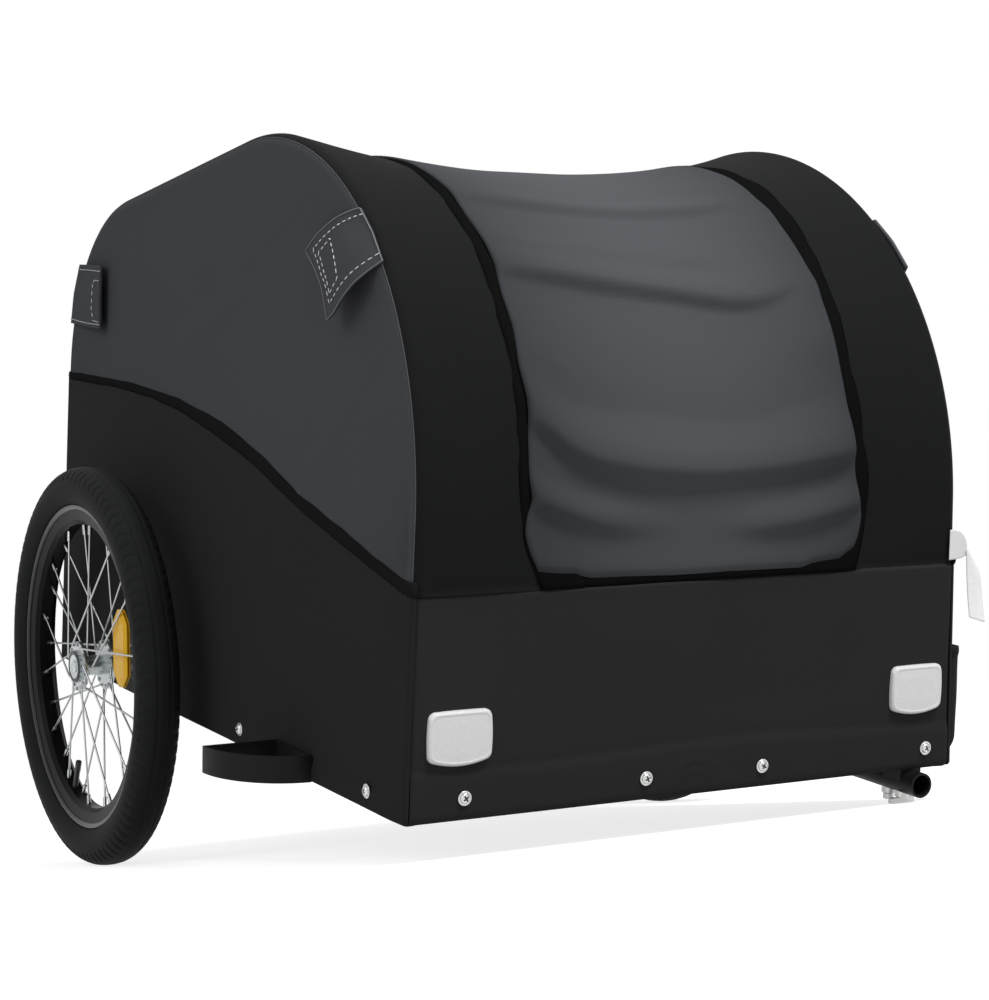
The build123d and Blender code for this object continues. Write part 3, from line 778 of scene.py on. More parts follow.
def upper_sides():
    """The grey upper sides, from the wave seam up and a little way round the hoops."""
    share = np.linspace(0, 1, 190)
    along = ARCH_LENGTH * (0.35 * share * share * (3 - 2 * share) + 0.65 * share)
    y_low = 0.003 + (LENGTH - 0.006) * share
    y_high, z_high = arch(along, 0.0, -HOOP)
    low, high = np.stack([y_low, seam_height(y_low)], -1), np.stack([y_high, z_high], -1)
    steps = np.linspace(0, 1, 80)[:, None, None]
    field = low[None] * (1 - steps) + high[None] * steps
    rim = np.clip((1 - steps[..., 0]) / 0.08, 0, 1)
    y, z = field[..., 0], field[..., 1]
    creases = ((0.30, 0.640, -0.5), (0.42, 0.560, -0.35), (0.16, 0.47, -0.9), (0.62, 0.60, 0.25))
    pulls = sum(
        0.0011 * hump(z - z0 - slope * (y - y0), 0, 0.007) * hump(y, y0, 0.10) for y0, z0, slope in creases
    )
    for label, sign in SIDES.items():
        x = wall_x(z) + (side_swell(y, z) + pulls) * rim
        turned = np.linspace(0, GREY_TURN, 5)[1:, None]
        wrap = hoop_wrap(along[None], turned)
        points = np.concatenate([np.stack([x, y, z], -1), wrap]) * np.array((sign, 1, 1))
        cloth(
            f"upper_side_{label}", points, SIDE_GREY, [f"side_upper_{label}"],
            (sign, 0, 0), (LENGTH, 0.37), area=LENGTH * 0.26,
        )


def hoop_piping():
    """A thin grey cord sewn in where each upper side meets its black band."""
    along = np.linspace(0.001, ARCH_LENGTH - 0.001, 320)
    for label, sign in SIDES.items():
        path = hoop_wrap(along, GREY_TURN + 0.02, -0.0001) * np.array((sign, 1, 1))
        name = f"hoop_piping_{label}"
        fitted(name, tube(name, path, 0.0006), PIPING_GREY, "frame", ())


def canopy_bands():
    """The black edge bands: over the hoops, then down the sagging roof to under the cover's binding."""
    along = np.linspace(-0.004, ARCH_LENGTH + 0.004, 260)
    for label, sign in SIDES.items():
        columns = [hoop_wrap(along, GREY_TURN - 0.1, -0.0012)]
        columns += [hoop_wrap(along, turned) for turned in np.linspace(GREY_TURN + 0.03, math.pi / 2, 8)]
        crest = hoop_x(along)
        for share in np.linspace(0, 1, 22)[1:]:
            x = crest + share * (BAND_INNER_X - crest)
            foot = -0.0010 * hump(along, 0.004, 0.006)
            columns.append(roof(sign * x, along, foot) * np.array((sign, 1, 1)))
        points = np.stack(columns, 1) * np.array((sign, 1, 1))
        cloth(
            f"edge_band_{label}", points, BAND_BLACK, [f"canopy_band_{label}"],
            (0, 0, 1), (0.13, ARCH_LENGTH),
        )


# The cover's outline: how far each side edge stands from the middle by distance along, and how far up
# the bottom edge runs by x.
EDGE_RIGHT = (
    (0.0, -0.1600), (0.016, -0.1620), (0.030, -0.1700), (0.048, -0.1760), (0.064, -0.1735),
    (0.076, -0.1700), (0.094, -0.1720), (0.134, -0.1705), (0.165, -0.1685), (0.198, -0.1705),
    (0.232, -0.1675), (0.266, -0.1685), (0.300, -0.1650), (0.328, -0.1640), (0.370, -0.1665),
    (0.42, -0.1640), (0.47, -0.1670), (0.52, -0.1645), (0.58, -0.1680), (0.66, -0.1650),
    (0.74, -0.1680), (0.82, -0.1655), (1.2, -0.1660),
)
EDGE_LEFT = (
    (0.0, 0.1560), (0.018, 0.1580), (0.030, 0.1645), (0.048, 0.1680), (0.068, 0.1635), (0.088, 0.1600),
    (0.120, 0.1590), (0.154, 0.1560), (0.192, 0.1560), (0.234, 0.1580), (0.262, 0.1590),
    (0.284, 0.1620), (0.305, 0.1600), (0.324, 0.1600), (0.366, 0.1600), (0.392, 0.1620),
    (0.416, 0.1600), (0.46, 0.1625), (0.50, 0.1620), (0.56, 0.1650), (0.64, 0.1620), (0.72, 0.1655),
    (0.80, 0.1635), (1.2, 0.1650),
)
EDGE_FOOT = (
    (-0.165, 0.0165), (-0.158, 0.0150), (-0.150, 0.0140), (-0.138, 0.0130), (-0.126, 0.0125),
    (-0.120, 0.0095), (-0.112, 0.0080), (-0.08, 0.0075), (-0.024, 0.0060), (0.04, 0.0065),
    (0.108, 0.0060), (0.118, 0.0090), (0.128, 0.0105), (0.150, 0.0120), (0.160, 0.0190),
)
BINDING_RIGHT = (
    (0.0, -0.1580), (0.015, -0.1650), (0.030, -0.1720), (0.046, -0.1785), (0.070, -0.1795),
    (0.096, -0.1805), (0.134, -0.1800), (0.155, -0.1775), (0.178, -0.1785), (0.215, -0.1770),
    (0.245, -0.1790), (0.274, -0.1780), (0.300, -0.1765), (0.330, -0.1760), (0.40, -0.1775),
    (0.48, -0.1760), (0.56, -0.1780), (1.2, -0.1770),
)
BINDING_LEFT = (
    (0.0, 0.1640), (0.020, 0.1690), (0.052, 0.1760), (0.090, 0.1760), (0.120, 0.1730), (0.148, 0.1720),
    (0.185, 0.1700), (0.222, 0.1705), (0.260, 0.1755), (0.280, 0.1740), (0.296, 0.1745),
    (0.322, 0.1785), (0.360, 0.1800), (0.404, 0.1835), (0.47, 0.1830), (0.54, 0.1800), (1.2, 0.1790),
)

# Folds of the cover: ridge marks (x, along), height, reach above and below the ridge, x where it fades.
COVER_FOLDS = (
    (((-0.17, 0.300), (-0.122, 0.296), (-0.058, 0.288), (-0.004, 0.281), (0.042, 0.271), (0.068, 0.267),
      (0.10, 0.272), (0.17, 0.300)), 0.0110, 0.036, 0.0105, -0.158, 0.105),
    (((-0.17, 0.160), (-0.15, 0.135), (-0.12, 0.115), (-0.066, 0.104), (0.0, 0.099), (0.076, 0.102),
      (0.12, 0.108), (0.17, 0.116)), 0.0125, 0.038, 0.0150, -0.190, 0.190),
    (((-0.18, 0.086), (-0.15, 0.071), (-0.12, 0.060), (-0.088, 0.053), (0.0, 0.048)),
     0.0090, 0.019, 0.0120, -0.200, -0.075),
    (((0.02, 0.046), (0.05, 0.046), (0.098, 0.050), (0.14, 0.058), (0.18, 0.070)),
     0.0090, 0.019, 0.0120, 0.045, 0.200),
    (((-0.17, 0.404), (-0.12, 0.403), (-0.076, 0.402), (-0.014, 0.400), (0.064, 0.403), (0.10, 0.408),
      (0.17, 0.420)), 0.0055, 0.022, 0.0100, -0.150, 0.110),
    (((-0.17, 0.345), (-0.08, 0.338), (0.02, 0.326), (0.12, 0.322)), 0.0028, 0.024, 0.0160, -0.145, 0.070),
    (((-0.17, 0.215), (-0.10, 0.190), (0.0, 0.170)), 0.0030, 0.030, 0.0200, -0.170, -0.030),
    (((0.02, 0.21), (0.10, 0.205), (0.17, 0.225)), 0.0024, 0.026, 0.0200, 0.050, 0.180),
)


def cover_swell(x, along):
    """The cover's folds, and the fall of its loose cloth between them."""
    total = 0.0
    for marks, height, above, below, left, right in COVER_FOLDS:
        rise = along - between(x, marks, 0.018)
        fall = 1.35 * hump(rise, 0, below) - 0.35 * hump(rise, 0, 2.4 * below)
        profile = np.where(rise > 0, hump(rise, 0, above), fall)
        fade = 1 / (1 + np.exp(-(x - left) / 0.018)) / (1 + np.exp((x - right) / 0.018))
        total = total + height * profile * fade
    loose = np.clip(1 - (x / 0.16) ** 2, 0, 1)
    total = total - 0.0045 * loose * hump(along, 0.20, 0.06)
    rear = np.clip((along - 0.5) / 0.1, 0, 1)
    return total + ripple(21.0, 0.10, 0.0022, x, along) + rear * ripple(23.0, 0.07, 0.004, x * 0.4, along)


COVER_HEIGHT = 0.0032  # how far the cover lies above the roof's fabric
HELD_BACK = 0.72  # the share of its folds that its sewn edges keep flat


def cover():
    """The loose grey cover, whose cut edges wave over a black bound edge."""
    across = np.linspace(-1, 1, 130)
    foot = between(across * 0.163, EDGE_FOOT, 0.002)
    steps = np.linspace(0, 1, 330)[:, None] ** 0.9
    along = foot + steps * (ARCH_LENGTH - 0.006 - foot)
    left, right = between(along, EDGE_RIGHT, 0.004), between(along, EDGE_LEFT, 0.004)
    x = left + (across + 1) / 2 * (right - left)
    edge = np.minimum(np.minimum(x - left, right - x), along - foot)
    held = 1 - HELD_BACK * np.exp(-edge / 0.006)
    rolled = -0.0016 * np.exp(-edge / 0.0008)
    out = COVER_HEIGHT + cover_swell(x, along) * held
    lowest, easing = 0.0030, 0.0010
    eased = lowest + easing * np.exp((out - lowest - easing) / easing)
    points = roof(x, along, np.where(out > lowest + easing, out, eased) + rolled)
    cloth("loose_cover", points, COVER_GREY, ["front_cover"], (0, 0, 1), (0.33, ARCH_LENGTH))


def cover_binding():
    """The black layer under the cover's edges: a strip down each side and one along each end."""
    side_width, end_width, thickness = 0.042, 0.030, 0.0010
    along = np.linspace(0, ARCH_LENGTH, 320)[:, None]
    share = np.linspace(0, 1, 10)[None]
    for label, sign, marks in (("left", 1, BINDING_LEFT), ("right", -1, BINDING_RIGHT)):
        x = np.abs(between(along, marks, 0.004)) - share * side_width
        out = 0.0013 + 0.0005 * np.sin(along * 90) - 0.0012 * (share == 0)
        cloth(
            f"cover_binding_{label}", roof(sign * x, along, out), BINDING, (),
            (0, 0, 1), (side_width, ARCH_LENGTH), thickness=thickness,
        )
    x = np.linspace(-0.158, 0.162, 90)[None]
    depth = np.linspace(0, end_width, 10)[:, None]
    out = 0.0016 - 0.02 * depth + 0.0004 * np.sin(x * 60) - 0.001 * (depth == 0)
    for label, start, way in (("front", 0.0, 1), ("rear", ARCH_LENGTH, -1)):
        cloth(
            f"cover_binding_{label}", roof(x, start + way * depth, out), BINDING, (),
            (0, -way, 0.2), (0.32, end_width), thickness=thickness,
        )


# ---- sewn-on tabs, pouch and tag ----
def stitching():
    """The tree that sews a row of thread stitches along a path."""
    row = Repeater("stitch_row", Pitch=float, Length=float, Width=float)
    curve = row.node("GeometryNodeMeshToCurve", {}, {"Mesh": row.given("Geometry")})
    points, tangent = row.node(
        "GeometryNodeCurveToPoints", {"mode": "LENGTH"}, {"Curve": curve, "Length": row.given("Pitch")},
        ("Points", "Tangent"),
    )
    lying = row.node("FunctionNodeAlignRotationToVector", {"axis": "X"}, {"Vector": tangent})
    lying = row.node(
        "FunctionNodeAlignRotationToVector", {"axis": "Z", "pivot_axis": "X"},
        {"Rotation": lying, "Vector": row.facing()},
    )
    bead = row.node("GeometryNodeMeshUVSphere", {}, {"Segments": 6, "Rings": 5, "Radius": 0.5})
    width = row.given("Width")
    size = row.node("ShaderNodeCombineXYZ", {}, {"X": row.given("Length"), "Y": width, "Z": width * 0.7})
    return row.finish(row.copies(points, bead, Rotation=lying, Scale=size))


def path_mesh(name, points, facing, edges=()):
    """Points, joined by edges, that carry the outward direction of the surface beneath them."""
    points, facing = np.array(points, float), np.array(facing, float)
    mesh = bpy.data.meshes.new(name)
    mesh.from_pydata(points.tolist(), edges, [])
    layer = mesh.attributes.new("facing", "FLOAT_VECTOR", "POINT")
    layer.data.foreach_set("vector", facing.ravel())
    return mesh


def joined(name, meshes):
    """One mesh out of several."""
    form = bmesh.new()
    for mesh in meshes:
        form.from_mesh(mesh)
    result = bpy.data.meshes.new(name)
    form.to_mesh(result)
    form.free()
    return result


def on_patch(points, u, v):
    """Places on a sheet's grid by its own coordinates, 0 to 1 each way, and the outward direction."""
    rows, columns = points.shape[:2]
    u, v = np.clip(u, 0, 1) * (columns - 1), np.clip(v, 0, 1) * (rows - 1)
    i, j = np.minimum(u.astype(int), columns - 2), np.minimum(v.astype(int), rows - 2)
    a, b = (u - i)[:, None], (v - j)[:, None]
    place = (points[j, i] * (1 - a) + points[j, i + 1] * a) * (1 - b)
    place = place + (points[j + 1, i] * (1 - a) + points[j + 1, i + 1] * a) * b
    normal = np.cross(points[j, i + 1] - points[j, i], points[j + 1, i] - points[j, i])
    return place, normal / np.linalg.norm(normal, axis=1)[:, None]


def sewn(name, sheet, outward, lines):
    """Thread stitches along lines drawn in a sheet's own coordinates."""
    rows = []
    for line in lines:
        line = np.array(line, float)
        closed = np.allclose(line[0], line[-1])
        steps = [a + (b - a) * t for a, b in zip(line[:-1], line[1:]) for t in np.linspace(0, 1, 14)[:-1]]
        steps = np.array(steps if closed else steps + [line[-1]])
        place, normal = on_patch(sheet, steps[:, 0], steps[:, 1])
        if normal.mean(0) @ np.array(outward) < 0:
            normal = -normal
        edges = [(k, (k + 1) % len(steps)) for k in range(len(steps) - (not closed))]
        path = path_mesh(name, place + normal * 0.0004, normal, edges)
        rows.append(STITCHES.run(name, path, Pitch=0.0074, Length=0.0055, Width=0.0010, Finish=THREAD))
    seam = joined(name, rows)
    seam.shade_smooth()
    fitted(name, seam, THREAD, "frame", ())


def stretch_between(marks, count, ease):
    """A smooth line of points through marks, evenly spaced."""
    marks = np.array(marks, float)
    run = run_along(marks)
    where = np.linspace(0, run[-1], count)
    line = np.stack([np.interp(where, run, marks[:, k]) for k in range(3)], 1)
    for _ in range(int(ease * count)):
        line[1:-1] = (line[:-2] + 2 * line[1:-1] + line[2:]) / 4
    return line


PATCH_ROWS = 40


def patch(low, high, first, last):
    """A sheet spanned between four edges: low and high run across, first and last run up."""
    low, high, first, last = (stretch_between(edge, PATCH_ROWS, 0.3) for edge in (low, high, first, last))
    u, v = np.linspace(0, 1, PATCH_ROWS)[None, :, None], np.linspace(0, 1, PATCH_ROWS)[:, None, None]
    rising = (1 - v) * low[None] + v * high[None]
    across = (1 - u) * first[:, None] + u * last[:, None]
    flat = (1 - u) * (1 - v) * low[0] + u * (1 - v) * low[-1] + (1 - u) * v * high[0] + u * v * high[-1]
    return rising + across - flat


# Marks along the tabs' edges: y, z, and how far they stand off the side. A tab's end is its free edge, and
# its root is the edge by the hoop.
TAB_TIP, TAB_FREE = (0.1485, 0.5678, 0.014), (0.2067, 0.6242, 0.009)
TAB_HOOP_LOW, TAB_HOOP_HIGH = (0.0775, 0.6190, -0.0005), (0.1250, 0.6615, -0.0005)
TAB_LOW = (
    TAB_TIP, (0.1327, 0.5734, 0.016), (0.1178, 0.5855, 0.017), (0.1018, 0.5997, 0.014),
    (0.0880, 0.6100, 0.008), TAB_HOOP_LOW,
)
TAB_HIGH = (
    TAB_FREE, (0.1875, 0.6376, 0.008), (0.1586, 0.6528, 0.005), (0.1383, 0.6591, 0.002), TAB_HOOP_HIGH,
)
TAB_END = (TAB_TIP, (0.1612, 0.5931, 0.0135), (0.1804, 0.6089, 0.0115), TAB_FREE)
TAB_ROOT = (TAB_HOOP_LOW, (0.0995, 0.6425, -0.0005), TAB_HOOP_HIGH)
TAB_SEAMS = (
    ((0.97, 0.87), (0.50, 0.88), (0.13, 0.88), (0.09, 0.50), (0.13, 0.13), (0.50, 0.14), (0.97, 0.13)),
    ((0.19, 0.76), (0.44, 0.78), (0.41, 0.50), (0.38, 0.25), (0.17, 0.21), (0.16, 0.50), (0.19, 0.76)),
)
REAR_TIP, REAR_FREE = (0.714, 0.532, 0.009), (0.717, 0.598, 0.009)
REAR_HOOP_LOW, REAR_HOOP_HIGH = (0.8205, 0.5335, 0.0022), (0.7940, 0.5972, 0.0036)
REAR_LOW = (REAR_TIP, (0.75, 0.532, 0.0064), (0.79, 0.5325, 0.0034), REAR_HOOP_LOW)
REAR_HIGH = (REAR_FREE, (0.75, 0.598, 0.0062), (0.775, 0.5975, 0.0042), REAR_HOOP_HIGH)
REAR_END = (REAR_TIP, (0.7145, 0.5645, 0.010), REAR_FREE)
REAR_ROOT = (REAR_HOOP_LOW, (0.812, 0.5655, 0.0030), REAR_HOOP_HIGH)
REAR_TAB_SEAMS = (
    ((0.0, 0.91), (0.5, 0.91), (1.0, 0.91)), ((0.0, 0.07), (0.5, 0.06), (1.0, 0.07)),
    ((0.04, 0.76), (0.20, 0.76), (0.27, 0.69), (0.275, 0.30), (0.20, 0.12), (0.04, 0.11)),
)


def tabs():
    """The loose tabs on the upper sides: a front one with a curled edge, outlined by a light grey bead that is
    partly its edge and partly a painted highlight, and a flatter rear one.
    """
    for label, sign in SIDES.items():
        curl = 1.0 if sign < 0 else 0.40
        outward = (sign, 0, 0)

        def spanned(*edges):
            return patch(*([(sign * (wall_x(z) + curl * off), y, z) for y, z, off in edge] for edge in edges))

        name = f"front_tab_{label}"
        sheet = spanned(TAB_LOW, TAB_HIGH, TAB_END, TAB_ROOT)
        swing = 0.0010 * np.sin(np.linspace(0, 5, PATCH_ROWS))
        waves = swing[None, :, None] * np.linspace(0, 1, PATCH_ROWS)[:, None, None]
        sheet = sheet + waves * np.array(outward)
        cloth(
            f"{name}_cloth", sheet, SIDE_GREY, [name], outward, (0.098, 0.075),
            area=0.0066, thickness=0.0022,
        )
        sewn(f"{name}_stitches", sheet, outward, TAB_SEAMS)
        # painted highlight: a thin light bead traces the tab's edges, standing for the light the edge catches
        border = np.concatenate([sheet[0, ::-1], sheet[1:, 0], sheet[-1, 1:], sheet[-2:0:-1, -1]])
        edge = tube(f"{name}_edge", border + (sign * 0.0003, 0, 0), 0.0005, closed=True)
        fitted(f"{name}_edge", edge, EDGE_HIGHLIGHT, "frame", ())

        name = f"rear_tab_{label}"
        sheet = spanned(REAR_LOW, REAR_HIGH, REAR_END, REAR_ROOT)
        cloth(
            f"{name}_cloth", sheet, SIDE_GREY, [name], outward, (0.096, 0.066),
            thickness=0.0034,
        )
        sewn(f"{name}_stitches", sheet, outward, REAR_TAB_SEAMS)


def pouch():
    """A flat open pocket on the trailer's left side, in front, with a hem along its mouth."""
    columns, hem_rows = 60, 7
    front_edge, mouth_slope = 0.0050, 0.004
    low, high = node_box("side_pouch")
    u, v = np.linspace(0, 1, columns)[None], np.linspace(0, 1, 46)[:, None]
    y = front_edge + (high[1] - front_edge) * u
    z = low[2] + (high[2] + 0.003 - low[2]) * v - mouth_slope * u * v
    full = np.minimum(np.clip(u / 0.03, 0, 1) ** 0.5, np.sin(np.clip((1 - u) / 0.12, 0, 1) * math.pi / 2))
    full = full * np.sin(np.clip(v / 0.12, 0, 1) * math.pi / 2) ** 0.8
    gape = 0.0095 + 0.0030 * v + 0.0015 * np.sin(u * math.pi) * v
    out = 0.0012 + (gape + ripple(51.0, 0.04, 0.0010, y, z)) * full
    sheet = np.stack([wall_x(z) + out, y + 0 * z, z + 0 * y], -1)
    cloth(
        "side_pocket", sheet, TUB_BLACK, ["side_pouch"], (1, 0, 0), (0.158, 0.10),
        thickness=0.0016,
    )
    shape = (hem_rows, columns)
    across, upward = np.broadcast_arrays(u, np.linspace(0.90, 1.0, hem_rows)[:, None])
    place, normal = on_patch(sheet, across.ravel(), upward.ravel())
    normal = normal * np.sign(normal[:, :1])
    bulge = 0.0010 * np.sin(np.linspace(0.1, math.pi - 0.1, hem_rows))[:, None, None]
    hem = place.reshape(*shape, 3) + normal.reshape(*shape, 3) * bulge
    cloth(
        "side_pocket_hem", hem, SIDE_BLACK, (), (1, 0, 0), (0.158, 0.0105),
        thickness=0.0008,
    )


TAG_X, CARD_FOOT = 0.2668, 0.3015


def tag():
    """A white ribbon caught in the front left corner seam, with a blank hang tag on it."""
    u, v = np.linspace(0, 1, 30)[None], np.linspace(0, 1, 22)[:, None]
    x = TAG_X + 0.0286 * u
    z_low = 0.3566 + 0.0020 * u * u
    z_high = z_low + 0.0008 + 0.0268 * np.sqrt(1 - (0.998 * u) ** 2)
    y = -0.0035 + 0.012 * (1 - np.cos(u * 1.35))
    ribbon = np.stack(np.broadcast_arrays(x + 0 * v, y + 0 * v, z_low + (z_high - z_low) * v), -1)
    cloth(
        "tag_ribbon", ribbon, TAPE_WHITE, (), (0, -1, 0), (0.022, 0.024),
        thickness=0.0006,
    )
    u, v = np.linspace(0, 1, 18)[None], np.linspace(0, 1, 50)[:, None]
    x_left = TAG_X + 0.0304 - 0.0057 * v
    width = 0.0182 + 0.0016 * v - 0.0132 * np.clip((v - 0.60) / 0.40, 0, 1) ** 1.6
    x = x_left + width * u
    z = CARD_FOOT + 0.0630 * v - 0.0056 * u * (1 - v) - 0.0015 * u * v
    y = 0.0010 + 0.0020 * np.sin(v * 2.6) + 0.0060 * u * u * v
    card = np.stack(np.broadcast_arrays(x, y, z), -1)
    cloth(
        "hang_tag", card, CARD_WHITE, (), (0, -1, 0), (0.0165, 0.064),
        thickness=0.0007,
    )


# ---- screws ----
def screw_head():
    """A pan head with a cross recess on a plain washer, its axis along Z."""
    radii = np.concatenate([np.linspace(0, 3.0, 11), [3.5, 4.0, 4.4, 4.65, 4.7]])
    heights = 1.0 + np.concatenate([2.6 - 0.055 * radii[:11] ** 2, [1.85, 1.45, 0.95, 0.4, 0.0]])
    angles = np.linspace(0, 2 * math.pi, 40, endpoint=False)
    x, y = radii[:, None] * np.cos(angles), radii[:, None] * np.sin(angles)
    arm = np.minimum(np.abs(x), np.abs(y))
    cut = np.clip((0.75 - arm) / 0.3, 0, 1) * np.clip((2.7 - np.hypot(x, y)) / 0.4, 0, 1)
    z = heights[:, None] - 1.3 * cut
    top = grid_mesh("screw", np.stack([x, y, z], -1)[::-1] / 1000, closed=True)
    rim = np.array([(4.5, 1.0), (5.9, 1.0), (6.2, 0.75), (6.2, 0.0), (4.5, 0.0)]) / 1000
    washer = lathe("washer", rim, 40)
    head = joined("screw_head", [outwards(top), washer])
    head.shade_smooth()
    head.set_sharp_from_angle(angle=math.radians(38))
    return head


def recess_shade():
    """A black insert at the floor of a screw's cross recess: painted shade, standing for the shadow inside the
    recess.
    """
    long, short = 0.0028, 0.00055
    corners = [
        (short, short), (short, long), (-short, long), (-short, short), (-long, short), (-long, -short),
        (-short, -short), (-short, -long), (short, -long), (short, -short), (long, -short), (long, short),
    ]
    mesh = bpy.data.meshes.new("recess_shade")
    layers = [(x, y, z) for z in (0.0022, 0.0032) for x, y in corners]
    sides = [(k, (k + 1) % 12, (k + 1) % 12 + 12, k + 12) for k in range(12)]
    mesh.from_pydata(layers, [], [tuple(range(12))[::-1], tuple(range(12, 24)), *sides])
    return outwards(mesh)


def fastening():
    """The tree that sets a fastener on every point, along its outward direction and turned at random."""
    row = Repeater("fasteners", Fastener="object", Seed=int)
    shape = row.node(
        "GeometryNodeObjectInfo", {"transform_space": "ORIGINAL"}, {"Object": row.given("Fastener")},
        "Geometry",
    )
    upright = row.node("FunctionNodeAlignRotationToVector", {"axis": "Z"}, {"Vector": row.facing()})
    lowest, highest = 2, 3  # the sockets of the random value's range
    spin = row.node(
        "FunctionNodeRandomValue", {"data_type": "FLOAT"},
        {lowest: 0.0, highest: 3.1, "Seed": row.given("Seed")}, 1,
    )
    spun = row.node("ShaderNodeCombineXYZ", {}, {"Z": spin})
    turned = row.node("FunctionNodeEulerToRotation", {}, {"Euler": spun})
    upright = row.node(
        "FunctionNodeRotateRotation", {"rotation_space": "LOCAL"}, {"Rotation": upright, "Rotate By": turned},
    )
    return row.finish(row.copies(row.given("Geometry"), shape, Rotation=upright))


END_SCREWS_X = (-0.2272, -0.0516, 0.0686, 0.2493)
SIDE_SCREWS_Y = (0.0645, 0.3330, 0.520, 0.760)
SCREW_GAP = 0.0004


def screws():
    """The screws that fix the fabric to the floor rails, all round."""
    end_z, side_z = BOTTOM + 0.0195, BOTTOM + 0.0165
    places, facing = [], []
    for y, way in ((0.0, -1), (LENGTH, 1)):
        for x in END_SCREWS_X:
            out = float(front_swell(np.array([x]), np.array([end_z]))[0])
            places.append((x, y + way * (out + SCREW_GAP), end_z))
            facing.append((0, way, 0))
    for sign in SIDES.values():
        for y in SIDE_SCREWS_Y:
            out = float(side_swell(np.array([y]), np.array([side_z]))[0])
            places.append((sign * (wall_x(side_z) + out + SCREW_GAP), y, side_z))
            facing.append((sign, 0, 0))
    # painted shade: a black insert darkens the bottom of each cross recess
    for name, shape, finish in (
        ("tub_screws", screw_head(), ZINC), ("screw_crosses", recess_shade(), CAP_BLACK),
    ):
        master = add_object("fastener_master", shape)
        spots = path_mesh("screw_places", places, facing)
        mesh = FASTENERS.run(name, spots, Fastener=master, Seed=4, Finish=finish)
        bpy.data.objects.remove(master)
        fitted(name, mesh, finish, "frame", ())


# ---- reflectors ----
def outline_of(points, count):
    """The outline of a flat point cloud: its hull, walked round evenly."""
    points = points[np.lexsort((points[:, 1], points[:, 0]))]
    hull = []
    for path in (points, points[::-1]):
        start = len(hull)
        for point in path:
            while len(hull) > start + 1:
                (ax, ay), (bx, by) = hull[-1] - hull[-2], point - hull[-2]
                if ax * by - ay * bx > 1e-12:
                    break
                hull.pop()
            hull.append(point)
        hull.pop()
    ring = np.array(hull + [hull[0]])
    run = run_along(ring)
    where = np.linspace(0, run[-1], count, endpoint=False)
    return np.stack([np.interp(where, run, ring[:, k]) for k in range(2)], 1)


def inset_ring(ring, distance):
    """A closed outline drawn in towards its middle, by the same distance at its widest and tallest."""
    low, high = ring.min(0), ring.max(0)
    return (low + high) / 2 + (ring - (low + high) / 2) * (1 - 2 * distance / (high - low))


def stepped_plate(name, ring, profile, lens_from, place, backed=True):
    """A plate built up from an outline through steps of (inset, height), with a second finish on its
    faces from one step on. place turns (across, up, height) into a point; backed closes its foot."""
    layers = [inset_ring(ring, inset) if inset else ring for inset, _ in profile]
    middle = ring.mean(0)
    last = profile[-1][1]
    flat = 0 * ring[:, 0]
    rows = [place(*layer.T, height + flat) for layer, (_, height) in zip(layers, profile)]
    for share in (0.75, 0.5, 0.25, 0.0):
        rows.append(place(*(middle + (layers[-1] - middle) * share).T, last + flat))
    if backed:
        rows.insert(0, place(flat + middle[0], flat + middle[1], flat))
    mesh = grid_mesh(name, np.array(rows), closed=True)
    marks = np.arange(len(mesh.polygons)) // len(ring) >= lens_from + backed
    mesh.polygons.foreach_set("material_index", marks.astype(int))
    return mesh


def bulged(ring, shrink, shift):
    """A reflector's outline with slightly bulging edges, scaled about its middle and moved."""
    middle, half = (ring.min(0) + ring.max(0)) / 2, (ring.max(0) - ring.min(0)) / 2
    part = (ring - middle) / half
    part = part * (1 + (0.055, 0.02) * (1 - part[:, ::-1] ** 2)) / (1.055, 1.02)
    return middle + part * half * shrink + shift


def reflectors():
    """The tub's four reflectors: a raised white or red frame round a prism lens."""
    # inset in metres, and height as a share of the depth
    steps = (
        (0.0, 0.0), (0.0, 0.42), (0.0003, 0.62), (0.0008, 0.78), (0.0015, 0.90), (0.0023, 0.97),
        (0.0030, 0.98), (0.0035, 0.92), (0.0043, 0.91), (0.0090, 0.98),
    )
    for end, facing, colour, frame_finish, lens in (
        ("front", -1, "white", FRAME_WHITE, WHITE_LENS), ("rear", 1, "red", FRAME_RED, RED_LENS),
    ):
        for label in SIDES:
            node = f"{end}_reflector_{label}"
            points = node_points(node) + LEVEL_AXLE
            low, high = points.min(0), points.max(0)
            if node == "front_reflector_left":
                shrink, shift = (0.925, 0.93), (0.0018, 0.0036)
            else:
                shrink, shift = (0.97, 0.952), (0.0014, -0.0014)
            ring = bulged(outline_of(np.round(points[:, [0, 2]], 5), 96), shrink, shift)
            back, depth = (high if facing < 0 else low)[1], high[1] - low[1]
            profile = [(inset, share * depth) for inset, share in steps]

            def place(across, up, height):
                return np.stack([across, back + facing * height, up], 1)

            mesh = outwards(stepped_plate(node, ring, profile, 7, place))
            mesh.set_sharp_from_angle(angle=math.radians(35))
            name = f"{end}_lens_{label}"
            piece = fitted(name, mesh, frame_finish, "frame", [node])
            piece.data.materials.append(lens)


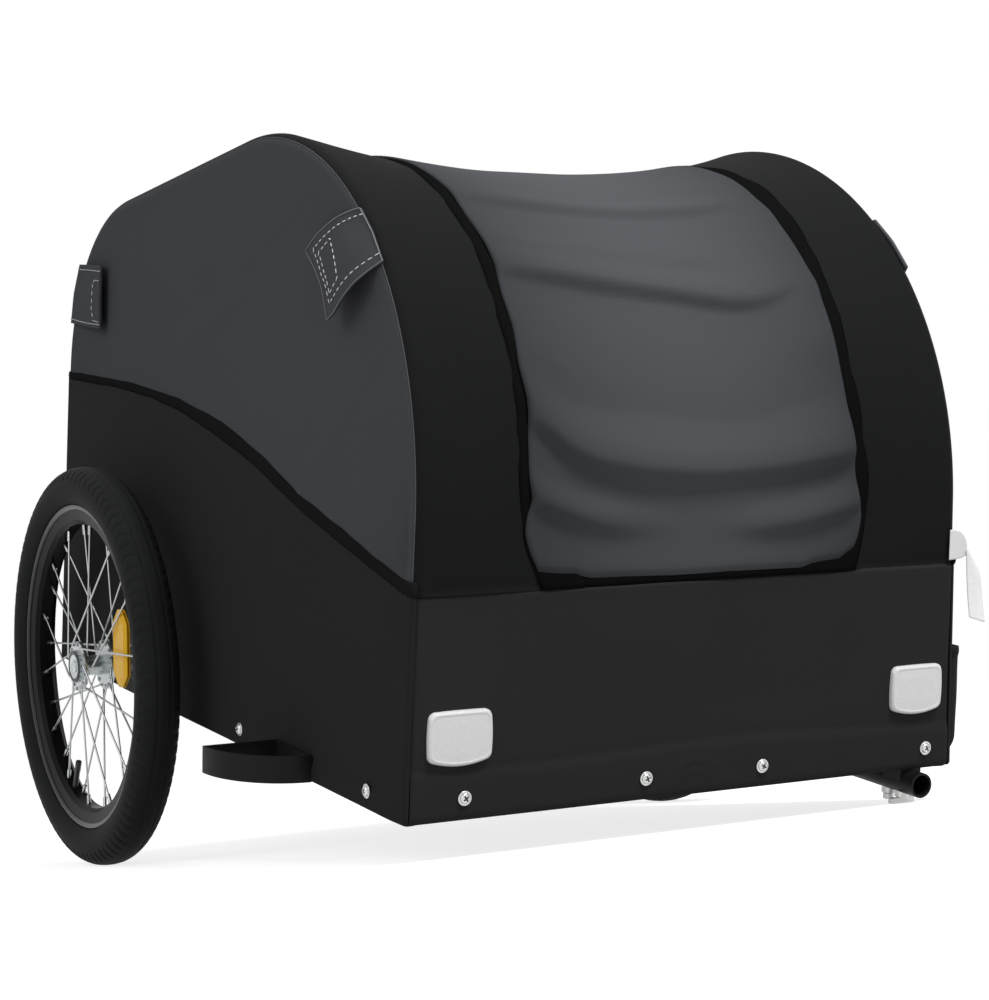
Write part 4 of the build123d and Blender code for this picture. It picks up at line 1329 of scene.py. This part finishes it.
def amber_reflectors():
    """The spoke reflectors: an outer and an inner bevelled lens on one plate."""
    # inset in metres, and height as a share of half the thickness
    steps = (
        (0.0035, 0.0), (0.0035, 0.14), (0.0, 0.25), (0.0, 0.45), (0.0006, 0.54), (0.0050, 0.98),
        (0.0056, 1.0), (0.0064, 0.92), (0.0090, 0.95),
    )
    for label in SIDES:
        node = f"spoke_reflector_{label}"
        points = node_points(node) + LEVEL_AXLE
        ring = outline_of(np.round(points[:, [1, 2]], 5), 72)
        low, high = points[:, 0].min(), points[:, 0].max()
        profile = [(inset, share * (high - low) / 2) for inset, share in steps]
        plates = []
        for way in (1, -1):

            def place(along, up, height):
                return np.stack([(low + high) / 2 + way * height, along, up], 1)

            plates.append(stepped_plate(node, ring, profile, 6, place, False))
        mesh = outwards(joined(f"amber_{label}", plates))
        mesh.set_sharp_from_angle(angle=math.radians(25))
        name = f"amber_lens_{label}"
        piece = fitted(name, mesh, AMBER_BEVEL_LIT, f"wheel_{label}", [node])
        piece.data.materials.append(AMBER_LENS)


# ---- tyres and small wheel parts ----
TREAD_REPEATS = 94


def tyre_segment():
    """One repeat of the tyre: its section swept through a small angle, with the tread's cuts pressed in."""
    bead, half = 0.159, 0.0215
    side_marks = [
        (0.0112, bead), (0.0112, bead + 0.0020), (0.0114, bead + 0.0034), (0.0136, bead + 0.0037),
        (0.0152, bead + 0.0042), (0.0162, bead + 0.0050), (0.0171, bead + 0.0064), (0.0184, bead + 0.0082),
        (0.0197, bead + 0.0110), (0.0208, bead + 0.0145), (half, bead + 0.0190), (0.0213, bead + 0.0230),
        (0.0206, bead + 0.0265), (0.0200, bead + 0.0285), (0.0193, bead + 0.0305), (0.0184, bead + 0.0325),
        (0.0172, bead + 0.0343), (0.0157, bead + 0.0358), (0.0140, bead + 0.0372), (0.0120, bead + 0.0384),
        (0.0100, bead + 0.0394), (0.0078, bead + 0.0402), (0.0072, bead + 0.0400), (0.0064, bead + 0.0400),
        (0.0058, bead + 0.0405), (0.0028, bead + 0.0409),
    ]
    section = np.array(side_marks + [(0.0, bead + 0.0410)] + [(-x, r) for x, r in side_marks[::-1]])
    steps = np.linspace(0, 1, 12)
    x, radius = section[:, 0][None], section[:, 1][None]
    reach = radius - bead
    tail = np.clip((reach - 0.0255) / 0.0145, 0, 1)
    shift = 0.5 * (x < 0)
    middle = 0.5 + 0.22 * (tail - 0.55) ** 2 * 4
    away = (steps[:, None] + shift - middle + 0.5) % 1 - 0.5
    rounded = np.sqrt(np.clip(1 - ((tail - 0.52) / 0.40) ** 2, 0, 1))
    cut = 0.0009 * np.clip((0.20 * rounded - np.abs(away)) / 0.05, 0, 1) * (rounded > 0)
    inward = np.stack([-np.sign(x) * np.abs(x) / half * 0.8, -np.clip(reach / 0.041, 0, 1) + 0 * x], -1)
    moved = section[None] + inward * cut[..., None]
    angle = steps[:, None] * 2 * math.pi / TREAD_REPEATS
    points = np.stack([moved[..., 0], moved[..., 1] * np.cos(angle), moved[..., 1] * np.sin(angle)], -1)
    return grid_mesh("tyre_segment", points)


def wheel_ring():
    """The tree that repeats a segment round the wheel's axle and welds the copies into one ring."""
    ring = Repeater("wheel_ring", Count=int)
    count = ring.given("Count")
    spots = ring.node("GeometryNodePoints", {}, {"Count": count})
    index = ring.node("GeometryNodeInputIndex", {}, {})
    turn_by = ring.node("ShaderNodeCombineXYZ", {}, {"X": index * (2 * math.pi) / count})
    turned = ring.node("FunctionNodeEulerToRotation", {}, {"Euler": turn_by})
    return ring.finish(ring.copies(spots, ring.given("Geometry"), Rotation=turned), weld=True)


def hub_place(sign):
    """The move from the origin to a wheel's middle, on the left for a sign of 1."""
    return Matrix.Translation((sign * TRACK_HALF, AXLE_Y, WHEEL_RADIUS))


def tyres():
    """Both tyres, with their valves."""
    ring = WHEEL_RING.run("tyre", tyre_segment(), Count=TREAD_REPEATS, Finish=RUBBER)
    stem = np.array((
        (0.0, 0.150), (3.4, 0.150), (3.4, 0.1435), (2.9, 0.1425), (2.8, 0.1250), (3.1, 0.1245),
        (3.1, 0.1140), (2.7, 0.1132), (0.0, 0.1130),
    )) * (0.001, 1.0)
    for label, sign in SIDES.items():
        body = f"wheel_{label}"
        mesh = ring.copy()
        mesh.transform(hub_place(sign))
        outwards(mesh)
        mesh.shade_smooth()
        fitted(f"tyre_{label}_tread", mesh, RUBBER, body, [f"tyre_{label}"])

        valve = lathe(f"valve_{label}", stem, 20)
        valve.transform(hub_place(sign) @ Matrix.Rotation(math.radians(200 if sign < 0 else 250), 4, "X"))
        fitted(f"valve_{label}", outwards(valve), CAP_BLACK, body, ())


def turned_parts():
    """The wheels' turned parts: rounded edges on both sides of each rim, and on each hub's outer face a
    dark dust ring round a plated cap."""
    edge = np.array([
        (159.1, 11.9), (157.6, 12.2), (157.2, 12.7), (157.9, 13.5), (159.2, 14.3), (160.6, 14.7),
        (161.9, 14.5), (162.7, 13.9), (162.9, 13.1), (162.5, 12.0), (161.4, 11.6),
    ])
    dust = np.array([(12.3, 0.0), (12.3, 0.7), (13.0, 1.1), (15.2, 1.0), (15.9, 0.5), (16.0, 0.0)])
    cap = np.array([
        (0.0, 1.9), (1.6, 1.9), (1.9, 1.5), (4.9, 1.5), (5.5, 1.0), (5.7, -0.4), (8.8, -0.6),
        (10.6, 0.3), (11.3, 0.9), (12.0, 0.8), (12.2, 0.1), (11.9, -1.2), (0.0, -1.2),
    ])
    for label, sign in SIDES.items():
        low, high = node_box(f"hub_{label}")
        face = high[0] if sign > 0 else low[0]
        middle = sign * TRACK_HALF
        for name, profile, steps, finish, x, side in (
            ("rim_edge_outer", edge, 160, RIM_EDGE, middle, sign),
            ("rim_edge_inner", edge, 160, RIM_EDGE, middle, -sign),
            ("dust_ring", dust, 64, CAP_BLACK, face, sign),
            ("hub_cap", cap, 64, HUB_ALLOY, face, sign),
        ):
            part = lathe(name, profile / 1000, steps)
            across = Matrix.Rotation(side * math.pi / 2, 4, "Y")
            part.transform(Matrix.Translation((x, AXLE_Y, WHEEL_RADIUS)) @ across)
            fitted(f"{name}_{label}", outwards(part), finish, f"wheel_{label}", ())


# ---- stage, camera and light ----
def camera():
    """A long lens, looking at the front and the trailer's right side from a little above. Its place and
    angles are those on the level trailer."""
    yaw, pitch, roll = (math.radians(a) for a in (29.2025, -6.5265, 1.21))
    place = Vector((-1.1647, -1.7186, 0.6537))
    ahead = Vector((math.sin(yaw) * math.cos(pitch), math.cos(yaw) * math.cos(pitch), math.sin(pitch)))
    right = Vector((math.cos(yaw), -math.sin(yaw), 0))
    up = right.cross(ahead)
    right, up = right * math.cos(roll) + up * math.sin(roll), up * math.cos(roll) - right * math.sin(roll)
    level = Matrix((right, up, -ahead)).transposed().to_4x4()
    view = bpy.data.objects.new("camera", bpy.data.cameras.new("camera"))
    bpy.context.scene.collection.objects.link(view)
    view.matrix_world = REST @ Matrix.Translation(place) @ level
    view.data.lens = 88.08
    view.data.clip_end = 50
    bpy.context.scene.camera = view


FLOOR_GREY, FLOOR_GLOW = 0.50, 0.79
AMBIENT = 0.42


def stage():
    """A white floor that keeps the trailer's shadow, and an even white surround."""
    scene = bpy.context.scene
    scene.view_settings.view_transform = "Standard"
    reach = 12.0
    corners = [(-reach, -reach, 0), (reach, -reach, 0), (reach, reach, 0), (-reach, reach, 0)]
    mesh = bpy.data.meshes.new("floor")
    mesh.from_pydata(corners, [], [(0, 1, 2, 3)])
    floor = add_object("floor", mesh)
    white = Finish("white_floor", Base_Color=shade([FLOOR_GREY] * 3), Roughness=1.0, Specular_IOR_Level=0.0)
    glow = white.node("ShaderNodeEmission", {}, {"Strength": white.seen() * FLOOR_GLOW})
    both = white.node("ShaderNodeAddShader", {}, {0: Wire(white, white.shader.outputs[0]), 1: glow})
    white.join(both, "Material Output", "Surface")
    mesh.materials.append(white.material)

    world = bpy.data.worlds.new("white")
    scene.world = world
    world.use_nodes = True
    surround = Works(world.node_tree)
    surround.tree.nodes["Background"].inputs["Color"].default_value = shade((1, 1, 1))
    surround.join(surround.seen() * (1.0 - AMBIENT) + AMBIENT, "Background", "Strength")


def lamp(name, place, size, power):
    """A square soft box that faces the trailer."""
    light = bpy.data.lights.new(name, "AREA")
    light.size, light.energy = size, power
    holder = bpy.data.objects.new(name, light)
    bpy.context.scene.collection.objects.link(holder)
    place = Vector(place)
    aim = Vector((0, 0, 0.35)) - place
    holder.matrix_world = Matrix.Translation(place) @ aim.to_track_quat("-Z", "Y").to_matrix().to_4x4()


finish_nodes()
plate_clamp_bosses()
camera()
stage()
lamp("key", (0.6, -2.6, 3.4), 1.0, 124)
lamp("fill", (-3.4, -1.2, 2.2), 2.4, 34)
lamp("top", (0.1, 0.3, 3.9), 1.2, 30)

end_walls()
tub_sides()
seam_binding()
upper_sides()
hoop_piping()
canopy_bands()
cover_binding()
cover()

STITCHES, FASTENERS, WHEEL_RING = stitching(), fastening(), wheel_ring()
tabs()
pouch()
tag()
screws()
reflectors()
amber_reflectors()
tyres()
turned_parts()
